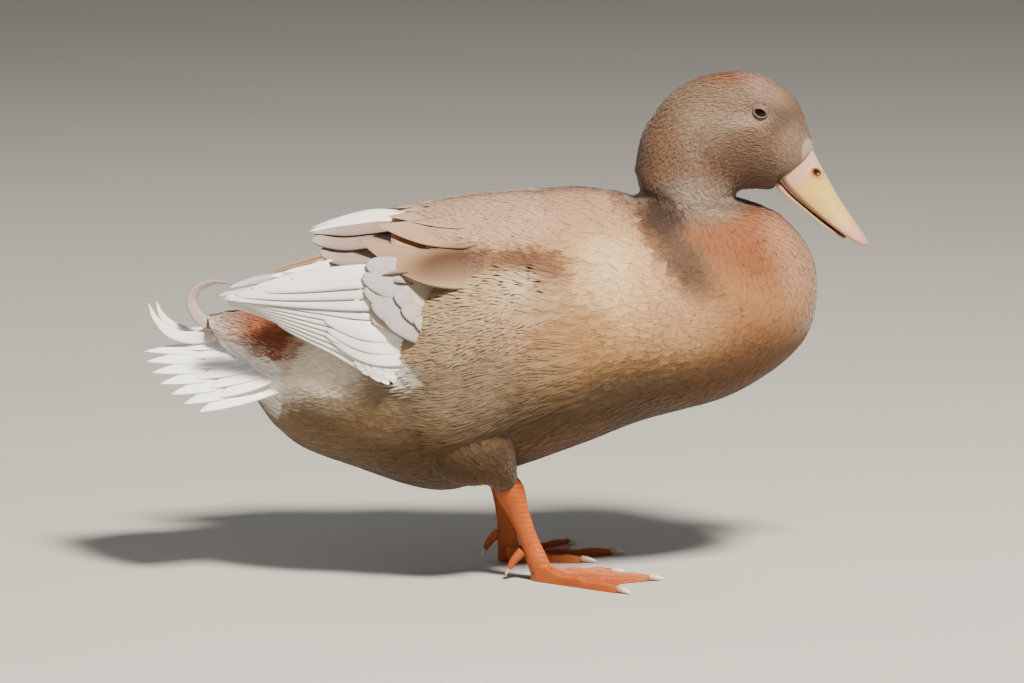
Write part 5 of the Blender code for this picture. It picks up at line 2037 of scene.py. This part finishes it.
@dataclass(frozen=True)
class Studio:
    """A pale floor, broad soft lights and the camera."""

    floor_colour: str = "#AAA7A2"
    camera_distance: float = 3300.0
    camera_height: float = 9.0  # degrees above level
    aim: tuple[float, float, float] = (4.3, 0.0, 135.0)
    lens: float = 200.0

    def build(self) -> None:
        """Sets out floor, lights, sky and camera."""
        self.lay_floor()
        self.light("key", (760, -1350, 2200), 420, 235, (1.0, 0.92, 0.8))
        self.light("fill", (-1200, -1900, 700), 1600, 4, (0.92, 0.96, 1.0))
        self.light("rim", (-900, 1400, 1500), 900, 9, (1.0, 0.97, 0.92))
        self.sky()
        self.camera()

    def lay_floor(self) -> None:
        """A broad flat floor whose top is at z = 0."""
        mesh = bpy.data.meshes.new("floor")
        reach = 6.0
        corners = [(-reach, -reach, 0), (reach, -reach, 0), (reach, reach, 0), (-reach, reach, 0)]
        mesh.from_pydata(corners, [], [(0, 1, 2, 3)])
        material, shader = blank_material("plaster_floor", Roughness=0.9)
        shader.inputs["Base Color"].default_value = (*linear(self.floor_colour), 1)
        mesh.materials.append(material)
        floor = bpy.data.objects.new("floor", mesh)
        bpy.context.scene.collection.objects.link(floor)

    def light(
        self,
        name: str,
        place: tuple[float, float, float],
        size: float,
        watts: float,
        colour: tuple[float, float, float],
    ) -> None:
        """One square area light turned to the bird's middle."""
        lamp = bpy.data.lights.new(name, "AREA")
        lamp.size, lamp.energy, lamp.color = size * MM, watts, colour
        holder = bpy.data.objects.new(name, lamp)
        holder.location = Vector(place) * MM
        to_bird = Vector((0, 0, 150)) - Vector(place)
        holder.rotation_euler = to_bird.to_track_quat("-Z", "Y").to_euler()
        bpy.context.scene.collection.objects.link(holder)

    def sky(self) -> None:
        """A plain pale world."""
        world = bpy.data.worlds.new("sky")
        world.use_nodes = True
        background = world.node_tree.nodes["Background"]
        background.inputs["Color"].default_value = (0.78, 0.82, 0.88, 1)
        background.inputs["Strength"].default_value = 0.21
        bpy.context.scene.world = world

    def camera(self) -> None:
        """A long lens on the bird's right side, a little above it."""
        lens = bpy.data.cameras.new("camera")
        lens.lens, lens.sensor_width = self.lens, 36.0
        camera = bpy.data.objects.new("camera", lens)
        rise = math.radians(self.camera_height)
        away = Vector((0, -math.cos(rise), math.sin(rise))) * self.camera_distance
        camera.location = (Vector(self.aim) + away) * MM
        camera.rotation_euler = (-away).to_track_quat("-Z", "Y").to_euler()
        bpy.context.scene.collection.objects.link(camera)
        bpy.context.scene.camera = camera


# --- The bird -----------------------------------------------------------------------------------


@dataclass(frozen=True)
class Drake:
    """The whole bird, made of its parts."""

    plumage: Plumage = Plumage()
    body: BodyForm = BodyForm()
    thighs: tuple[ThighForm, ...] = (ThighForm(-1, 1.0), ThighForm(1, -3.0))
    legs: tuple[Leg, ...] = (Leg(-1, 1.0, 21.5, 3.0), Leg(1, -3.0, 2.5, 16.0))
    regions: tuple[Region, ...] = (
        Region("face", 14.6, 18.9, 1.05, 4.8, 0.75, 1, 0, 0.6, 0.3, 10, 2.8, 0.08, 0.16, 11, 2,
               depth_shade=0.1),
        Region("neck", 11.6, 14.8, 1.5, 7.5, 0.9, 2, 8, 0.9, 0.4, 8, 4.8, 0.08, 0.16, 12, 2,
               depth_shade=0.1),
        Region("breast", 7.8, 11.9, 3.0, 15.0, 1.7, 6, 13, 0.6, 0.5, 3, 8.0, 0.08, 0.03, 13, 2),
        Region("body", 1.6, 8.0, 4.4, 27.0, 2.6, 7, 12, 0.45, 0.6, 3, 16.0, 0.03, 0.02, 14, 4, keel=0.12),
        Region("nape", 7.2, 9.8, 2.4, 7.0, 1.5, 4, 10, 0.6, 0.5, 5, 5.0, folds=(0.0, 0.3), seed=19),
        Region("rump", 0.1, 1.9, 3.6, 22.0, 1.9, 6, 20, 1.6, 0.6, 9, 20.0, 0.06, 0.05, 15),
        Region("tuft", 0.15, 1.5, 3.0, 21.0, 2.0, 7, 18, 4.0, 0.6, 10, folds=(0.0, 0.44), seed=18,
               fade=0.6),
        Region("drape", 4.4, 6.6, 3.0, 30.0, 1.5, 9, 9, 3.7, 0.5, 5, folds=(0.44, 0.7), seed=16,
               droop=-12, fade=0.5),
        Region("fluff", 3.9, 6.2, 3.2, 28.0, 3.2, 7, 15, 3.6, 0.5, 8, folds=(0.33, 0.52), seed=17,
               droop=-5, fade=0.4, keel=0.1, ruffle=0.05),
    )
    thigh_region: Region = Region("thigh", 0.6, 3.9, 3.4, 13.0, 2.0, 6, 16, 0.8, 0.5, 5, 5.0)

    def build(self) -> None:
        """Builds and dresses every part."""
        Skin(self.plumage, self.body, self.thighs).build()
        coat = Coat(self.body, self.plumage, 0.0, 0.84)
        for region in self.regions:
            coat.grow(region)
        for side in (-1, 1):
            Wing(side, self.plumage).build()
        for thigh, start in zip(self.thighs, (0.86, 0.93)):
            region = replace(self.thigh_region, name=f"thigh_0.{thigh.side + 1}")
            Coat(thigh, self.plumage, start, 0.07).grow(region)
        Tail().build()
        Bill().build()
        for side in (-1, 1):
            Eye(side, self.body).build()
        for leg in self.legs:
            leg.build()


def main() -> None:
    """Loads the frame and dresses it."""
    logging.basicConfig(level=logging.INFO, format="%(name)s: %(message)s")
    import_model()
    Studio().build()
    Drake().build()


if __name__ == "__main__":
    main()
